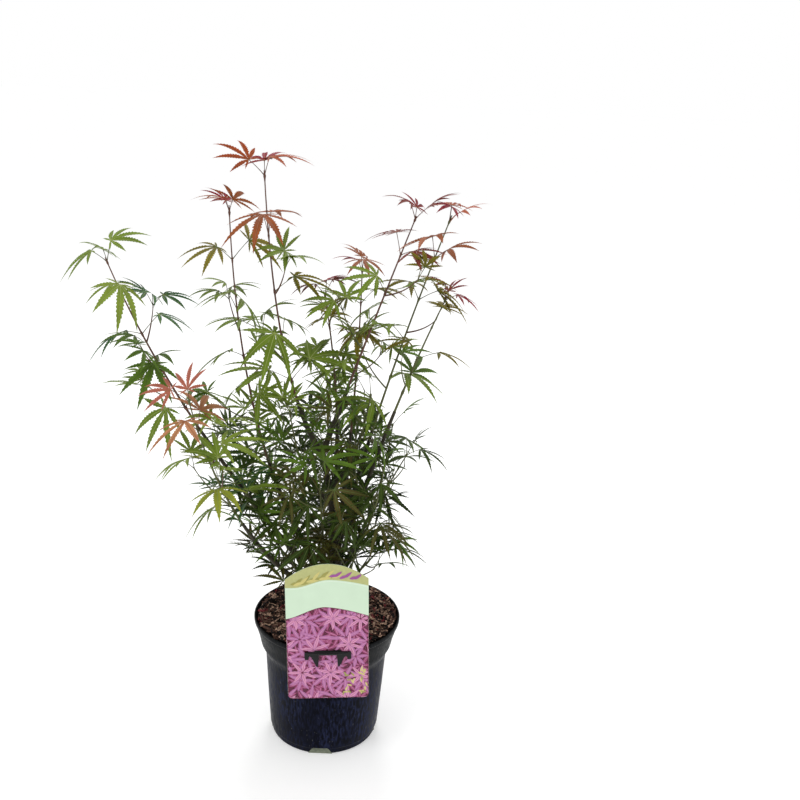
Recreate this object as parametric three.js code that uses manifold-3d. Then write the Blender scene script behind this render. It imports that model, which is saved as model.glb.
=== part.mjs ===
// A young Japanese maple in a black nursery pot, in millimetres, +Z up.
// The origin is the centre of the pot's flat underside, and the plant label hangs on the -Y side.
// A short trunk stands in the potting mix and carries boughs; each ends in one mass of twigs and leaves.
// Every bough and its mass share one smooth line, and the leaves follow one seeded rule of growth.

import * as THREE from "three";
import { mergeVertices } from "three/addons/utils/BufferGeometryUtils.js";
import Module from "manifold-3d";

const wasm = await Module();
wasm.setup();

// ---- driving dimensions ------------------------------------------------------------------------

const CLEARANCE = 0.3; // gap between pieces that touch on the real plant
const LEAF_CLEARANCE = 0.45; // least gap between a leaf and anything but its own twig
const WELD = 1e-3; // points closer than this are one point
const SLIVER = 0.03; // details of a mass smaller than this are smoothed away

const POT = {
  height: 168,
  rimRadius: 95,
  collarRadius: 86.5, // where the collar meets the shoulder
  collarHeight: 32,
  wallTopRadius: 80,
  wallFootRadius: 71.5,
  footRadius: 70,
  footHeight: 8,
  wall: 1.6,
  floor: 2.4,
  sides: 30,
};
const DRAIN = {
  count: 4,
  widthBelow: 31,
  widthAbove: 18,
  height: 10,
  depth: 20,
  skin: 1.5,
  holeRadius: 4.5,
  turn: -93, // degrees round the pot to the first one
};
const SOIL = {
  top: 160,
  mound: 3.5, // how far the middle stands above the edge
  roughness: 1.6,
  plateau: 18, // flat ground round the foot of the trunk
  rings: 2,
};
const LABEL = {
  width: 100,
  sideHeight: 165,
  archRise: 20,
  cornerRadius: 6,
  thickness: 0.7,
  middle: [1.5, 185.5], // x and z of the middle of its straight sides
  turn: 2.4, // degrees in its own plane
};
const CLIP = {
  width: 57,
  barHeight: 4.4,
  drop: 2.6, // how far the bar hangs below the slot's middle
  depth: 2.6,
  tabWidth: 4.8,
  tabHeight: 10.2,
  legInner: 11, // a leg's edges at the bar, and its point, from the middle
  legOuter: 21,
  legPoint: 13,
  legHeight: 20.6,
  slotWidth: 36,
  slotHeight: 3.4,
  tongueWidth: 32.8,
  tongueHeight: 2,
  hookDrop: 9,
  hookThickness: 1.4,
};
const TRUNK = {
  flareRadius: 15,
  flareHeight: 16,
  footRadius: 8.5,
  topRadius: 6.2,
  top: [2, 2, 226],
  sides: 10,
};
const LIMB = { sides: 5, steps: 2, footRadius: 3.6, tipRadius: 2.0 };
const TWIG = { sides: 3, steps: 2, tipRadius: 1.3, sideRadius: 1.6, pairs: 1, spread: 40 };
const SKIRT = { radius: 150, top: 210 }; // no leaf hangs lower than this round the pot
const TIP = { size: 0.7, lift: 22, spread: 18 }; // the youngest leaves: smaller, raised, close to the twig

// How far chance moves a leaf: angles in degrees, lengths as shares of the leaf's own.
const CHANCE = {
  spread: 26, // added to its angle from the twig
  stalk: [0.42, 0.68],
  size: [0.96, 1.2],
  roll: 45, // about its own length, either way
  tilt: 32, // up or down, either way
  turn: 16, // round the twig, either way
};

// The blade of a leaf: its middle lobe and those on one side, by angle in degrees and share of its length.
const LOBES = [
  { angle: 0, reach: 1 },
  { angle: 36, reach: 0.92 },
  { angle: 74, reach: 0.66 },
];
const BLADE = {
  notchReach: 0.32,
  backAngle: 125,
  backReach: 0.055,
  sag: 0.26, // how far a lobe's tip hangs below the blade's middle
  halfThickness: 0.013,
  leastHalfThickness: 0.55,
  stalkRadius: 0.55,
};

// ---- the plant's plan --------------------------------------------------------------------------
// A shoot starts on the trunk or the leader at `from`, passes `through` half way and ends at `tip`. Its bough
// is bare up to the share `leafFrom`; the rest is the mass. `pairs` counts its leaf pairs and `sprigs` its
// side twigs, `leaf` is the length of the middle lobe, and `lift` the angle of the blades above the level.

const SHOOTS = [
  { name: "leader", from: [2, 2, 222], through: [2, 0, 310], tip: [-13, -2, 394], foot: 5.4, end: 3.6 },
  {
    name: "tall_shoot", from: [-13, -2, 392], through: [-61, 0, 520], tip: [-87, 0, 733],
    leafFrom: 0.3, pairs: 5, sprigs: 2, leaf: 58, lift: -12, turn: 8, tint: "bronze", seed: 10206,
  },
  {
    name: "diagonal_shoot", from: [-12, -3, 392], through: [36, -11, 540], tip: [88, -10, 690],
    leafFrom: 0.3, pairs: 5, sprigs: 2, leaf: 48, lift: 0, turn: 26, tint: "bronze", seed: 31611,
  },
  {
    name: "slim_shoot", from: [-2, 3, 212], through: [-92, 25, 409], tip: [-130, 30, 688],
    leafFrom: 0.42, pairs: 6, sprigs: 3, leaf: 52, lift: -12, turn: 49, tint: "bronze", seed: 32967,
  },
  {
    name: "left_shoot", from: [0, 0, 200], through: [-164, 10, 414], tip: [-271, 10, 624],
    leafFrom: 0.5, pairs: 5, sprigs: 3, leaf: 52, lift: -24, turn: 10, tint: "green", seed: 58003,
  },
  {
    name: "right_shoot", from: [4, 0, 218], through: [53, 8, 436], tip: [131, 10, 690],
    leafFrom: 0.46, pairs: 6, sprigs: 2, leaf: 52, lift: -12, turn: 37, tint: "red", seed: 37349,
  },
  {
    name: "right_fork_shoot", from: [5, -3, 212], through: [66, -16, 430], tip: [128, -18, 598],
    leafFrom: 0.56, pairs: 4, sprigs: 2, leaf: 46, lift: 0, turn: 88, tint: "red", seed: 67330,
  },
  {
    name: "small_shoot", from: [2, 4, 300], through: [4, 44, 430], tip: [-16, 60, 582],
    leafFrom: 0.5, pairs: 4, sprigs: 2, leaf: 44, lift: -12, turn: 73, tint: "bronze", seed: 35006,
  },
  {
    name: "inner_right_shoot", from: [4, 6, 216], through: [24, 54, 415], tip: [30, 70, 614],
    leafFrom: 0.46, pairs: 5, sprigs: 3, leaf: 46, lift: -24, turn: 86, tint: "bronze", seed: 60562,
  },
  {
    name: "young_shoot", from: [0, -5, 190], through: [-100, -68, 318], tip: [-163, -90, 488],
    leafFrom: 0.52, pairs: 5, sprigs: 3, leaf: 52, lift: -6, turn: 4, tint: "lime", seed: 130635,
  },
  {
    name: "left_spray", from: [-1, -3, 186], through: [-56, -28, 266], tip: [-104, -36, 352],
    leafFrom: 0.42, pairs: 5, sprigs: 3, leaf: 50, lift: 16, turn: 3, tint: "dark", seed: 77059,
  },
  {
    name: "left_low_spray", from: [-1, -5, 176], through: [-26, -44, 228], tip: [-48, -66, 282],
    leafFrom: 0.42, pairs: 4, sprigs: 3, leaf: 48, lift: 16, turn: 89, tint: "dark", seed: 82415,
  },
  {
    name: "front_spray", from: [1, -6, 204], through: [-8, -48, 296], tip: [-14, -72, 392],
    leafFrom: 0.42, pairs: 5, sprigs: 4, leaf: 50, lift: -20, turn: 38, tint: "dark", seed: 71781,
  },
  {
    name: "front_low_spray", from: [3, -6, 182], through: [20, -46, 234], tip: [30, -74, 286],
    leafFrom: 0.42, pairs: 4, sprigs: 3, leaf: 48, lift: 16, turn: 79, tint: "dark", seed: 66117,
  },
  {
    name: "right_front_spray", from: [4, -5, 210], through: [44, -42, 306], tip: [62, -56, 396],
    leafFrom: 0.42, pairs: 5, sprigs: 3, leaf: 48, lift: -8, turn: 1, tint: "dark", seed: 79288,
  },
  {
    name: "right_spray", from: [5, 2, 204], through: [52, 10, 304], tip: [94, 4, 392],
    leafFrom: 0.42, pairs: 5, sprigs: 3, leaf: 48, lift: -20, turn: 4, tint: "dark", seed: 88544,
  },
  {
    name: "right_low_spray", from: [5, -2, 190], through: [38, -16, 236], tip: [68, -22, 278],
    leafFrom: 0.42, pairs: 4, sprigs: 3, leaf: 48, lift: -20, turn: 16, tint: "dark", seed: 68860,
  },
  {
    name: "back_left_spray", from: [-2, 5, 206], through: [-62, 64, 300], tip: [-104, 104, 404],
    leafFrom: 0.42, pairs: 5, sprigs: 4, leaf: 50, lift: 16, turn: 17, tint: "dark", seed: 40296,
  },
  {
    name: "back_spray", from: [1, 7, 200], through: [2, 78, 300], tip: [-6, 128, 412],
    leafFrom: 0.42, pairs: 5, sprigs: 4, leaf: 50, lift: 16, turn: 57, tint: "dark", seed: 78497,
  },
  {
    name: "back_right_spray", from: [4, 5, 196], through: [56, 66, 292], tip: [80, 106, 396],
    leafFrom: 0.42, pairs: 5, sprigs: 4, leaf: 50, lift: 16, turn: 37, tint: "dark", seed: 88198,
  },
  {
    name: "back_low_spray", from: [1, 6, 178], through: [4, 54, 222], tip: [6, 92, 268],
    leafFrom: 0.42, pairs: 4, sprigs: 3, leaf: 48, lift: 16, turn: 69, tint: "dark", seed: 76819,
  },
  {
    name: "heart_left_spray", from: [2, 0, 326], through: [-32, -16, 372], tip: [-52, -26, 452],
    leafFrom: 0.42, pairs: 4, sprigs: 3, leaf: 46, lift: 16, turn: 45, tint: "green", seed: 83775,
  },
  {
    name: "heart_right_spray", from: [0, 0, 346], through: [28, -14, 400], tip: [44, -22, 478],
    leafFrom: 0.42, pairs: 4, sprigs: 3, leaf: 46, lift: -20, turn: 40, tint: "green", seed: 46601,
  },
];

// ---- materials ---------------------------------------------------------------------------------

const standard = (color, roughness) =>
  new THREE.MeshStandardMaterial({ color, roughness, metalness: 0, flatShading: true });
const MATERIALS = {
  pot: standard(0x1d1f22, 0.42),
  soil: standard(0x3d2a20, 0.95),
  label: standard(0xcfe6cc, 0.35),
  clip: standard(0x0c0d10, 0.3),
  bark: standard(0x5a4a36, 0.8),
  dark: standard(0x2f4a25, 0.6),
  green: standard(0x4b7a2c, 0.6),
  lime: standard(0x93a53a, 0.6),
  bronze: standard(0x9a5a34, 0.6),
  red: standard(0x8e3a36, 0.6),
};

// ---- small helpers -----------------------------------------------------------------------------

const vec = (p) => new THREE.Vector3(...p);
const UP = new THREE.Vector3(0, 0, 1);
const radians = THREE.MathUtils.degToRad;
const lerp = THREE.MathUtils.lerp;

/** Repeatable random numbers from 0 to 1 (Park and Miller's generator). */
function randomFrom(seed) {
  let state = seed * 7919;
  const next = () => {
    state = (state * 48271) % 2147483647;
    return state / 2147483647;
  };
  for (let i = 0; i < 3; i++) next();
  return next;
}

/** A closed three.js geometry as a manifold-3d solid. */
function solidOf(geometry) {
  const bare = new THREE.BufferGeometry().setAttribute("position", geometry.getAttribute("position"));
  if (geometry.index) bare.setIndex(geometry.index);
  const merged = mergeVertices(bare, WELD);
  return new wasm.Manifold(
    new wasm.Mesh({
      numProp: 3,
      vertProperties: merged.getAttribute("position").array,
      triVerts: new Uint32Array(merged.index.array),
    }),
  );
}

/** The largest piece of a solid, without scraps and sealed hollows. */
function largest(solid) {
  return solid.decompose().reduce((a, b) => (b.volume() > a.volume() ? b : a));
}

/** A manifold-3d solid as a three.js geometry. */
function geometryOf(solid) {
  const { vertProperties, triVerts } = solid.getMesh();
  const geometry = new THREE.BufferGeometry()
    .setAttribute("position", new THREE.BufferAttribute(vertProperties, 3))
    .setIndex(new THREE.BufferAttribute(triVerts, 1));
  geometry.computeVertexNormals();
  return geometry;
}

const plant = new THREE.Group();

function addMesh(name, solid, material) {
  const mesh = new THREE.Mesh(geometryOf(solid), material);
  mesh.name = name;
  plant.add(mesh);
}

/** A solid of revolution about Z, from [radius, height] points that start and end on the axis. */
function turned(profile, sides) {
  const points = profile.map(([r, z]) => new THREE.Vector2(r, z));
  return new THREE.LatheGeometry(points, sides).rotateX(Math.PI / 2);
}

// ---- pot ---------------------------------------------------------------------------------------

/** The trapezium of a drain pocket, grown by `skin`, as a prism that runs outwards from radius `inner`. */
function drainPrism(skin, inner, outer) {
  const flare = (DRAIN.widthBelow - DRAIN.widthAbove) / 2 / DRAIN.height;
  const [bottom, top] = [-5, DRAIN.height + skin];
  const below = DRAIN.widthBelow / 2 + skin - flare * bottom;
  const above = DRAIN.widthAbove / 2 + skin - flare * skin;
  const shape = new THREE.Shape();
  shape.moveTo(-below, bottom).lineTo(below, bottom).lineTo(above, top).lineTo(-above, top);
  return new THREE.ExtrudeGeometry(shape, { depth: outer - inner, bevelEnabled: false })
    .rotateX(Math.PI / 2)
    .rotateZ(Math.PI)
    .translate(0, inner, 0)
    .rotateZ(-Math.PI / 2);
}

/** The same cutter at each drain. */
function atDrains(makeGeometry) {
  const solids = [];
  for (let i = 0; i < DRAIN.count; i++) {
    const turn = radians(DRAIN.turn + (360 * i) / DRAIN.count);
    solids.push(solidOf(makeGeometry().rotateZ(turn)));
  }
  return solids.reduce((a, b) => a.add(b));
}

function potProfile() {
  const shoulder = POT.height - POT.collarHeight;
  const outside = [
    [POT.footRadius - 1.5, 0],
    [POT.footRadius, 2],
    [POT.footRadius, POT.footHeight],
    [POT.wallFootRadius, POT.footHeight + 1.5],
    [POT.wallTopRadius, shoulder - 9],
    [POT.collarRadius, shoulder],
    [POT.rimRadius - 2.5, POT.height - 8],
    [POT.rimRadius, POT.height - 3],
    [POT.rimRadius, POT.height],
  ];
  const inside = [
    [POT.rimRadius - 1.4 * POT.wall, POT.height],
    [POT.collarRadius - POT.wall, shoulder + 1],
    [POT.wallTopRadius - POT.wall, shoulder - 8.5],
    [POT.footRadius - 1.4 * POT.wall, POT.floor],
  ];
  return { outside, inside };
}

function pot() {
  const { outside, inside } = potProfile();
  const shell = solidOf(turned([[0, 0], ...outside, ...inside, [0, POT.floor]], POT.sides));
  const inner = POT.footRadius - DRAIN.depth;
  const within = solidOf(turned([[0, 0], ...outside, [0, POT.height]], POT.sides));
  const skins = atDrains(() => drainPrism(DRAIN.skin, inner - DRAIN.skin, POT.rimRadius));
  const pockets = atDrains(() => drainPrism(0, inner, POT.rimRadius + 5));
  const hole = () =>
    new THREE.CylinderGeometry(DRAIN.holeRadius, DRAIN.holeRadius, 12, 6)
      .rotateX(Math.PI / 2)
      .translate(POT.footRadius - DRAIN.depth / 2 - 1, 0, DRAIN.height);
  return largest(shell.add(skins.intersect(within)).subtract(pockets).subtract(atDrains(hole)));
}

// ---- potting mix -------------------------------------------------------------------------------

/** Height of the mix at a point: a low mound, flat round the trunk, rough outside that. */
function soilHeight(x, y) {
  const r = Math.hypot(x, y);
  if (r <= SOIL.plateau + 0.01) return SOIL.top + SOIL.mound;
  const edge = (r - SOIL.plateau) / (POT.rimRadius - SOIL.plateau);
  const rough = Math.sin(x * 0.19 + 1.3) * Math.cos(y * 0.23 - 0.4) + 0.5 * Math.sin(x * 0.41 + y * 0.37);
  return SOIL.top + SOIL.mound * (1 - edge * edge) + SOIL.roughness * rough * Math.min(1, 3 * edge);
}

function soil() {
  const { inside } = potProfile();
  const walls = inside.map(([r, z]) => [r - CLEARANCE, z]).reverse();
  walls[0][1] += CLEARANCE;
  const [shoulder, rim] = [walls[2], walls[3]];
  const rTop = lerp(shoulder[0], rim[0], (SOIL.top - shoulder[1]) / (rim[1] - shoulder[1])) - CLEARANCE;
  const side = [...walls.slice(0, 3), [rTop, SOIL.top]];
  const rings = [];
  for (let i = SOIL.rings; i >= 0; i--) rings.push([lerp(SOIL.plateau, rTop, i / SOIL.rings), SOIL.top]);
  const profile = [[0, side[0][1]], ...side, ...rings.slice(1), [0, SOIL.top]];
  const geometry = turned(profile, POT.sides);
  const position = geometry.getAttribute("position");
  for (let i = 0; i < position.count; i++) {
    if (position.getZ(i) > SOIL.top - 0.01)
      position.setZ(i, soilHeight(position.getX(i), position.getY(i)));
  }
  const inner = POT.footRadius - DRAIN.depth;
  const pocket = DRAIN.skin + CLEARANCE;
  const pockets = atDrains(() => drainPrism(pocket, inner - pocket, POT.rimRadius));
  return largest(solidOf(geometry).subtract(pockets));
}

// ---- plant label and its clip ------------------------------------------------------------------

const labelBack = -(POT.rimRadius + CLEARANCE);

/** Turns a flat outline in x and z into a plate whose back is at y = back. */
function plate(shape, thickness, back) {
  return new THREE.ExtrudeGeometry(shape, { depth: thickness, bevelEnabled: false, curveSegments: 5 })
    .rotateX(Math.PI / 2)
    .translate(0, back, 0);
}

/** Places something drawn round the label's middle on the pot, with the label's small turn. */
function placeOnLabel(geometry) {
  return geometry.rotateY(radians(-LABEL.turn)).translate(LABEL.middle[0], 0, LABEL.middle[1]);
}

/** Height of the slot's middle above the label's middle. */
const clipHeight = POT.height + CLEARANCE + CLIP.slotHeight / 2 - LABEL.middle[1];

function label() {
  const w = LABEL.width / 2;
  const h = LABEL.sideHeight / 2;
  const r = LABEL.cornerRadius;
  const outline = new THREE.Shape();
  outline.moveTo(-w + r, -h).lineTo(w - r, -h).quadraticCurveTo(w, -h, w, -h + r).lineTo(w, h);
  outline.quadraticCurveTo(w * 0.5, h + LABEL.archRise, 0, h + LABEL.archRise);
  outline.quadraticCurveTo(-w * 0.5, h + LABEL.archRise, -w, h);
  outline.lineTo(-w, -h + r).quadraticCurveTo(-w, -h, -w + r, -h);
  const slot = new THREE.Path();
  const sw = CLIP.slotWidth / 2;
  const sh = CLIP.slotHeight / 2;
  slot.moveTo(-sw, clipHeight - sh).lineTo(-sw, clipHeight + sh);
  slot.lineTo(sw, clipHeight + sh).lineTo(sw, clipHeight - sh);
  outline.holes.push(slot);
  return solidOf(placeOnLabel(plate(outline, LABEL.thickness, labelBack)));
}

/** The clip: a bar with end tabs and two pointed legs, and a tongue through the slot that hooks the rim. */
function clip() {
  const w = CLIP.width / 2;
  const top = clipHeight + CLIP.barHeight / 2 - CLIP.drop;
  const low = top - CLIP.barHeight;
  const half = [
    [CLIP.legInner, low],
    [CLIP.legPoint - 1, top - CLIP.legHeight],
    [CLIP.legPoint + 1, top - CLIP.legHeight],
    [CLIP.legOuter, low],
    [w - CLIP.tabWidth, low],
    [w - CLIP.tabWidth, top - CLIP.tabHeight],
    [w, top - CLIP.tabHeight],
    [w, top],
  ];
  const mirrored = half.map(([x, z]) => [-x, z]).reverse();
  const shape = new THREE.Shape([...half, ...mirrored].map(([x, z]) => new THREE.Vector2(x, z)));
  const front = labelBack - LABEL.thickness - CLEARANCE;
  const face = solidOf(placeOnLabel(plate(shape, CLIP.depth, front)));

  const inside = -(POT.rimRadius - 2.5 - POT.wall - 3);
  const root = front - CLIP.depth / 2; // inside the bar
  const reach = inside - root + CLIP.hookThickness;
  const tongue = new THREE.BoxGeometry(CLIP.tongueWidth, reach, CLIP.tongueHeight);
  tongue.translate(0, root + reach / 2, clipHeight);
  const hook = new THREE.BoxGeometry(CLIP.tongueWidth, CLIP.hookThickness, CLIP.hookDrop);
  const hookMiddle = clipHeight + (CLIP.tongueHeight - CLIP.hookDrop) / 2;
  hook.translate(0, root + reach - CLIP.hookThickness / 2, hookMiddle);
  return largest(face.add(solidOf(placeOnLabel(tongue))).add(solidOf(placeOnLabel(hook))));
}

// ---- limbs -------------------------------------------------------------------------------------

/** The line of a shoot: a quadratic curve that passes `through` half way. */
function lineOf({ from, through, tip }) {
  const [a, m, b] = [vec(from), vec(through), vec(tip)];
  const bend = m.clone().multiplyScalar(2).addScaledVector(a, -0.5).addScaledVector(b, -0.5);
  return new THREE.QuadraticBezierCurve3(a, bend, b);
}

/** Two directions square to `along`; the first lies as level as the reference axis allows. */
function acrossOf(along) {
  const reference = Math.abs(along.y) < 0.8 ? new THREE.Vector3(0, 1, 0) : new THREE.Vector3(1, 0, 0);
  const u = new THREE.Vector3().crossVectors(reference, along).normalize();
  const v = new THREE.Vector3().crossVectors(along, u);
  return [u, v];
}

/** A tapering rod along a curve from share t0 to t1, its ends square to it and moved in by `inset`. */
function rod(curve, t0, t1, r0, r1, sides, steps, inset = 0) {
  const length = curve.getLength() * (t1 - t0);
  const geometry = new THREE.CylinderGeometry(r1, r0, 1, sides, steps);
  const position = geometry.getAttribute("position");
  const from = t0 + ((t1 - t0) * inset) / length;
  const to = t1 - ((t1 - t0) * inset) / length;
  for (let i = 0; i < position.count; i++) {
    const t = lerp(from, to, position.getY(i) + 0.5);
    const [u, v] = acrossOf(curve.getTangent(THREE.MathUtils.clamp(t, 0.001, 0.999)));
    const point = curve
      .getPoint(t)
      .addScaledVector(u, position.getZ(i))
      .addScaledVector(v, position.getX(i));
    position.setXYZ(i, point.x, point.y, point.z);
  }
  return solidOf(geometry);
}

/** The trunk, from its flat foot on the mix to its fork, grown by `extra` all round for clearances. */
function trunk(extra) {
  const foot = SOIL.top + SOIL.mound + CLEARANCE;
  const top = TRUNK.top[2];
  const profile = [
    [0, foot - extra],
    [TRUNK.flareRadius + extra, foot - extra],
    [TRUNK.flareRadius * 0.76 + extra, foot + TRUNK.flareHeight * 0.28],
    [TRUNK.footRadius + extra, foot + TRUNK.flareHeight],
    [lerp(TRUNK.footRadius, TRUNK.topRadius, 0.5) + extra, lerp(foot, top, 0.65)],
    [TRUNK.topRadius + extra, top - 3],
    [TRUNK.topRadius * 0.6 + extra, top + extra],
    [0, top + extra],
  ];
  const geometry = turned(profile, TRUNK.sides);
  const position = geometry.getAttribute("position");
  for (let i = 0; i < position.count; i++) {
    const share = Math.max(0, (position.getZ(i) - foot) / (top - foot));
    const around = Math.atan2(position.getY(i), position.getX(i));
    const roots = position.getZ(i) < foot + 2 ? 1 + 0.14 * Math.sin(3 * around) : 1;
    position.setX(i, position.getX(i) * roots + TRUNK.top[0] * share * share);
    position.setY(i, position.getY(i) * roots + TRUNK.top[1] * share);
  }
  return solidOf(geometry);
}

// ---- the rule of growth ------------------------------------------------------------------------

/** A leaf on a stalk that leaves `root`: where its blade starts, which way it points and how long it is. */
function leafAt(root, along, outward, length, lift, leastSpread, random) {
  const spread = radians(leastSpread + lerp(0, CHANCE.spread, random()));
  const stalk = length * lerp(...CHANCE.stalk, random());
  const roll = radians(lerp(-CHANCE.roll, CHANCE.roll, random()));
  const tilt = radians(lift + lerp(-CHANCE.tilt, CHANCE.tilt, random()));
  const size = length * lerp(...CHANCE.size, random());
  const direction = along.clone().multiplyScalar(Math.cos(spread)).addScaledVector(outward, Math.sin(spread));
  direction.normalize();
  const base = root.clone().addScaledVector(direction, stalk);
  const level = new THREE.Vector3(direction.x + 0.6 * outward.x, direction.y + 0.6 * outward.y, 0);
  if (level.length() < 0.05) level.set(outward.x, outward.y, 0.01);
  level.normalize();
  const axis = level.multiplyScalar(Math.cos(tilt)).addScaledVector(UP, Math.sin(tilt)).normalize();
  if (axis.dot(direction) < 0.35) axis.addScaledVector(direction, 0.5).normalize();
  const normal = UP.clone().addScaledVector(axis, -UP.dot(axis)).normalize().applyAxisAngle(axis, roll);
  return { root, base, axis, normal, length: size };
}

/** Leaf pairs along one twig, each pair turned a quarter from the last, and a trio at its tip. */
function leavesAlong(curve, t0, pairs, length, lift, turn, random) {
  const leaves = [];
  for (let k = 0; k < pairs; k++) {
    const share = (k + 0.6) / (pairs - 0.4);
    const last = k === pairs - 1;
    const t = lerp(t0, 1, Math.min(1, share)) - (last ? 0.012 : 0);
    const along = curve.getTangent(t);
    const [u, v] = acrossOf(along);
    const angle = radians(turn + 90 * k + lerp(-CHANCE.turn, CHANCE.turn, random()));
    const grown = length * (last ? 0.8 : lerp(1.04, 0.94, share));
    const [raised, spread] = last ? [lift + TIP.lift, TIP.spread] : [lift, TWIG.spread];
    for (const side of [1, -1]) {
      const outward = u.clone().multiplyScalar(side * Math.cos(angle));
      outward.addScaledVector(v, side * Math.sin(angle));
      leaves.push(leafAt(curve.getPoint(t), along, outward, grown, raised, spread, random));
    }
  }
  const along = curve.getTangent(0.99);
  const [u, v] = acrossOf(along);
  const angle = radians(turn + 90 * pairs + lerp(-30, 30, random()));
  const outward = u.clone().multiplyScalar(Math.cos(angle)).addScaledVector(v, Math.sin(angle));
  const youngest = length * TIP.size;
  leaves.push(leafAt(curve.getPoint(0.985), along, outward, youngest, lift + 2 * TIP.lift, 4, random));
  return leaves;
}

/** The side twigs of a shoot, spread along its mass, each with its own leaves. */
function sprigsOf(shoot, curve, random) {
  const sprigs = [];
  for (let k = 0; k < shoot.sprigs; k++) {
    const t = lerp(shoot.leafFrom + 0.05, 0.8, (k + 0.5) / shoot.sprigs);
    const along = curve.getTangent(t);
    const [u, v] = acrossOf(along);
    const angle = radians(shoot.turn + 137.5 * (k + 1) + lerp(-20, 20, random()));
    const outward = u.clone().multiplyScalar(Math.cos(angle)).addScaledVector(v, Math.sin(angle));
    const reach = shoot.leaf * lerp(0.85, 1.35, random()) * (1 - 0.25 * (k / shoot.sprigs));
    const from = curve.getPoint(t);
    const through = from.clone().addScaledVector(outward, 0.42 * reach).addScaledVector(along, 0.3 * reach);
    const tip = from.clone().addScaledVector(outward, 0.72 * reach).addScaledVector(along, 0.55 * reach);
    tip.z += 0.12 * reach;
    const line = lineOf({ from: from.toArray(), through: through.toArray(), tip: tip.toArray() });
    const leaves = leavesAlong(line, 0.35, TWIG.pairs, shoot.leaf * 0.95, shoot.lift, 45 + 70 * k, random);
    sprigs.push({ line, leaves });
  }
  return sprigs;
}

/**
 * A leaf as a closed solid: a flattened star of lobes, thickest where they meet, on a three-sided stalk that
 * ends in the middle of its twig. It is grown by `extra` for clearances; a blade alone has no stalk.
 */
function leafSolid({ root, base, axis, normal, length }, extra = 0, bladeOnly = false) {
  const side = new THREE.Vector3().crossVectors(normal, axis);
  const half = Math.max(BLADE.leastHalfThickness, BLADE.halfThickness * length) + extra;
  const at = (angle, share) => {
    const reach = share * length + extra;
    return base
      .clone()
      .addScaledVector(axis, Math.cos(radians(angle)) * reach)
      .addScaledVector(side, Math.sin(radians(angle)) * reach)
      .addScaledVector(normal, (-BLADE.sag * reach * reach) / length);
  };
  const ring = [at(-BLADE.backAngle, BLADE.backReach)];
  for (let i = LOBES.length - 1; i > 0; i--) {
    ring.push(at(-LOBES[i].angle, LOBES[i].reach));
    ring.push(at(-(LOBES[i].angle + LOBES[i - 1].angle) / 2, BLADE.notchReach));
  }
  ring.push(at(0, 1));
  for (let i = 1; i < LOBES.length; i++) {
    ring.push(at((LOBES[i].angle + LOBES[i - 1].angle) / 2, BLADE.notchReach));
    ring.push(at(LOBES[i].angle, LOBES[i].reach));
  }
  ring.push(at(BLADE.backAngle, BLADE.backReach));
  const last = ring.length - 1;
  const [top, bottom] = [last + 1, last + 2];
  const points = [...ring];
  points.push(base.clone().addScaledVector(normal, half), base.clone().addScaledVector(normal, -half));
  const faces = [];
  for (let i = 0; i < last; i++) faces.push(top, i, i + 1, bottom, i + 1, i);
  if (bladeOnly) {
    faces.push(top, last, 0, bottom, 0, last);
  } else {
    const r = BLADE.stalkRadius + extra;
    const [ridge, left, right] = [last + 3, last + 4, last + 5];
    points.push(root.clone().addScaledVector(normal, r));
    points.push(root.clone().addScaledVector(normal, -r / 2).addScaledVector(side, r * 0.87));
    points.push(root.clone().addScaledVector(normal, -r / 2).addScaledVector(side, -r * 0.87));
    faces.push(top, last, left, top, left, ridge, top, ridge, right, top, right, 0);
    faces.push(bottom, left, last, bottom, right, left, bottom, 0, right);
    faces.push(ridge, left, right);
  }
  const geometry = new THREE.BufferGeometry()
    .setAttribute("position", new THREE.Float32BufferAttribute(points.flatMap((v) => v.toArray()), 3))
    .setIndex(faces);
  return solidOf(geometry);
}

// ---- assembly ----------------------------------------------------------------------------------

const potSolid = pot();
const soilSolid = soil();
const labelSolid = label();
const clipSolid = clip();
const trunkSolid = trunk(0);
addMesh("pot", potSolid, MATERIALS.pot);
addMesh("soil", soilSolid, MATERIALS.soil);
addMesh("label", labelSolid, MATERIALS.label);
addMesh("label_clip", clipSolid, MATERIALS.clip);
addMesh("trunk", trunkSolid, MATERIALS.bark);

/** Everything placed so far, as solids with their bounding boxes, to keep new pieces clear of. */
const placed = [];
function pieceOf(solid, owner) {
  return { solid, owner, box: solid.boundingBox() };
}
function place(solid, owner) {
  placed.push(pieceOf(solid, owner));
}
function boxesMeet(a, b) {
  return [0, 1, 2].every((i) => a.min[i] <= b.max[i] && b.min[i] <= a.max[i]);
}
function touches(solid, others) {
  const box = solid.boundingBox();
  return others.some((o) => boxesMeet(box, o.box) && !solid.intersect(o.solid).isEmpty());
}
for (const solid of [potSolid, soilSolid, labelSolid, clipSolid, trunkSolid]) place(solid);

/** The space round the rim and the space in front of the label stay free of leaves. */
const skirt = new THREE.CylinderGeometry(SKIRT.radius, SKIRT.radius, SKIRT.top - SOIL.top, 24);
place(solidOf(skirt.rotateX(Math.PI / 2).translate(0, 0, (SKIRT.top + SOIL.top) / 2)));
const viewOfLabel = new THREE.BoxGeometry(LABEL.width + 12, LABEL.width, LABEL.sideHeight + 40);
place(solidOf(placeOnLabel(viewOfLabel.translate(0, labelBack - LABEL.width / 2, 10))));

/** Limbs first: each bough, and the stem that carries on from it, is cut clear of the limbs before it. */
const limbGuards = [trunk(CLEARANCE)];
const stems = new Map();

function clearLimb(limb) {
  return largest(limbGuards.reduce((rest, guard) => rest.subtract(guard), limb));
}

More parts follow.
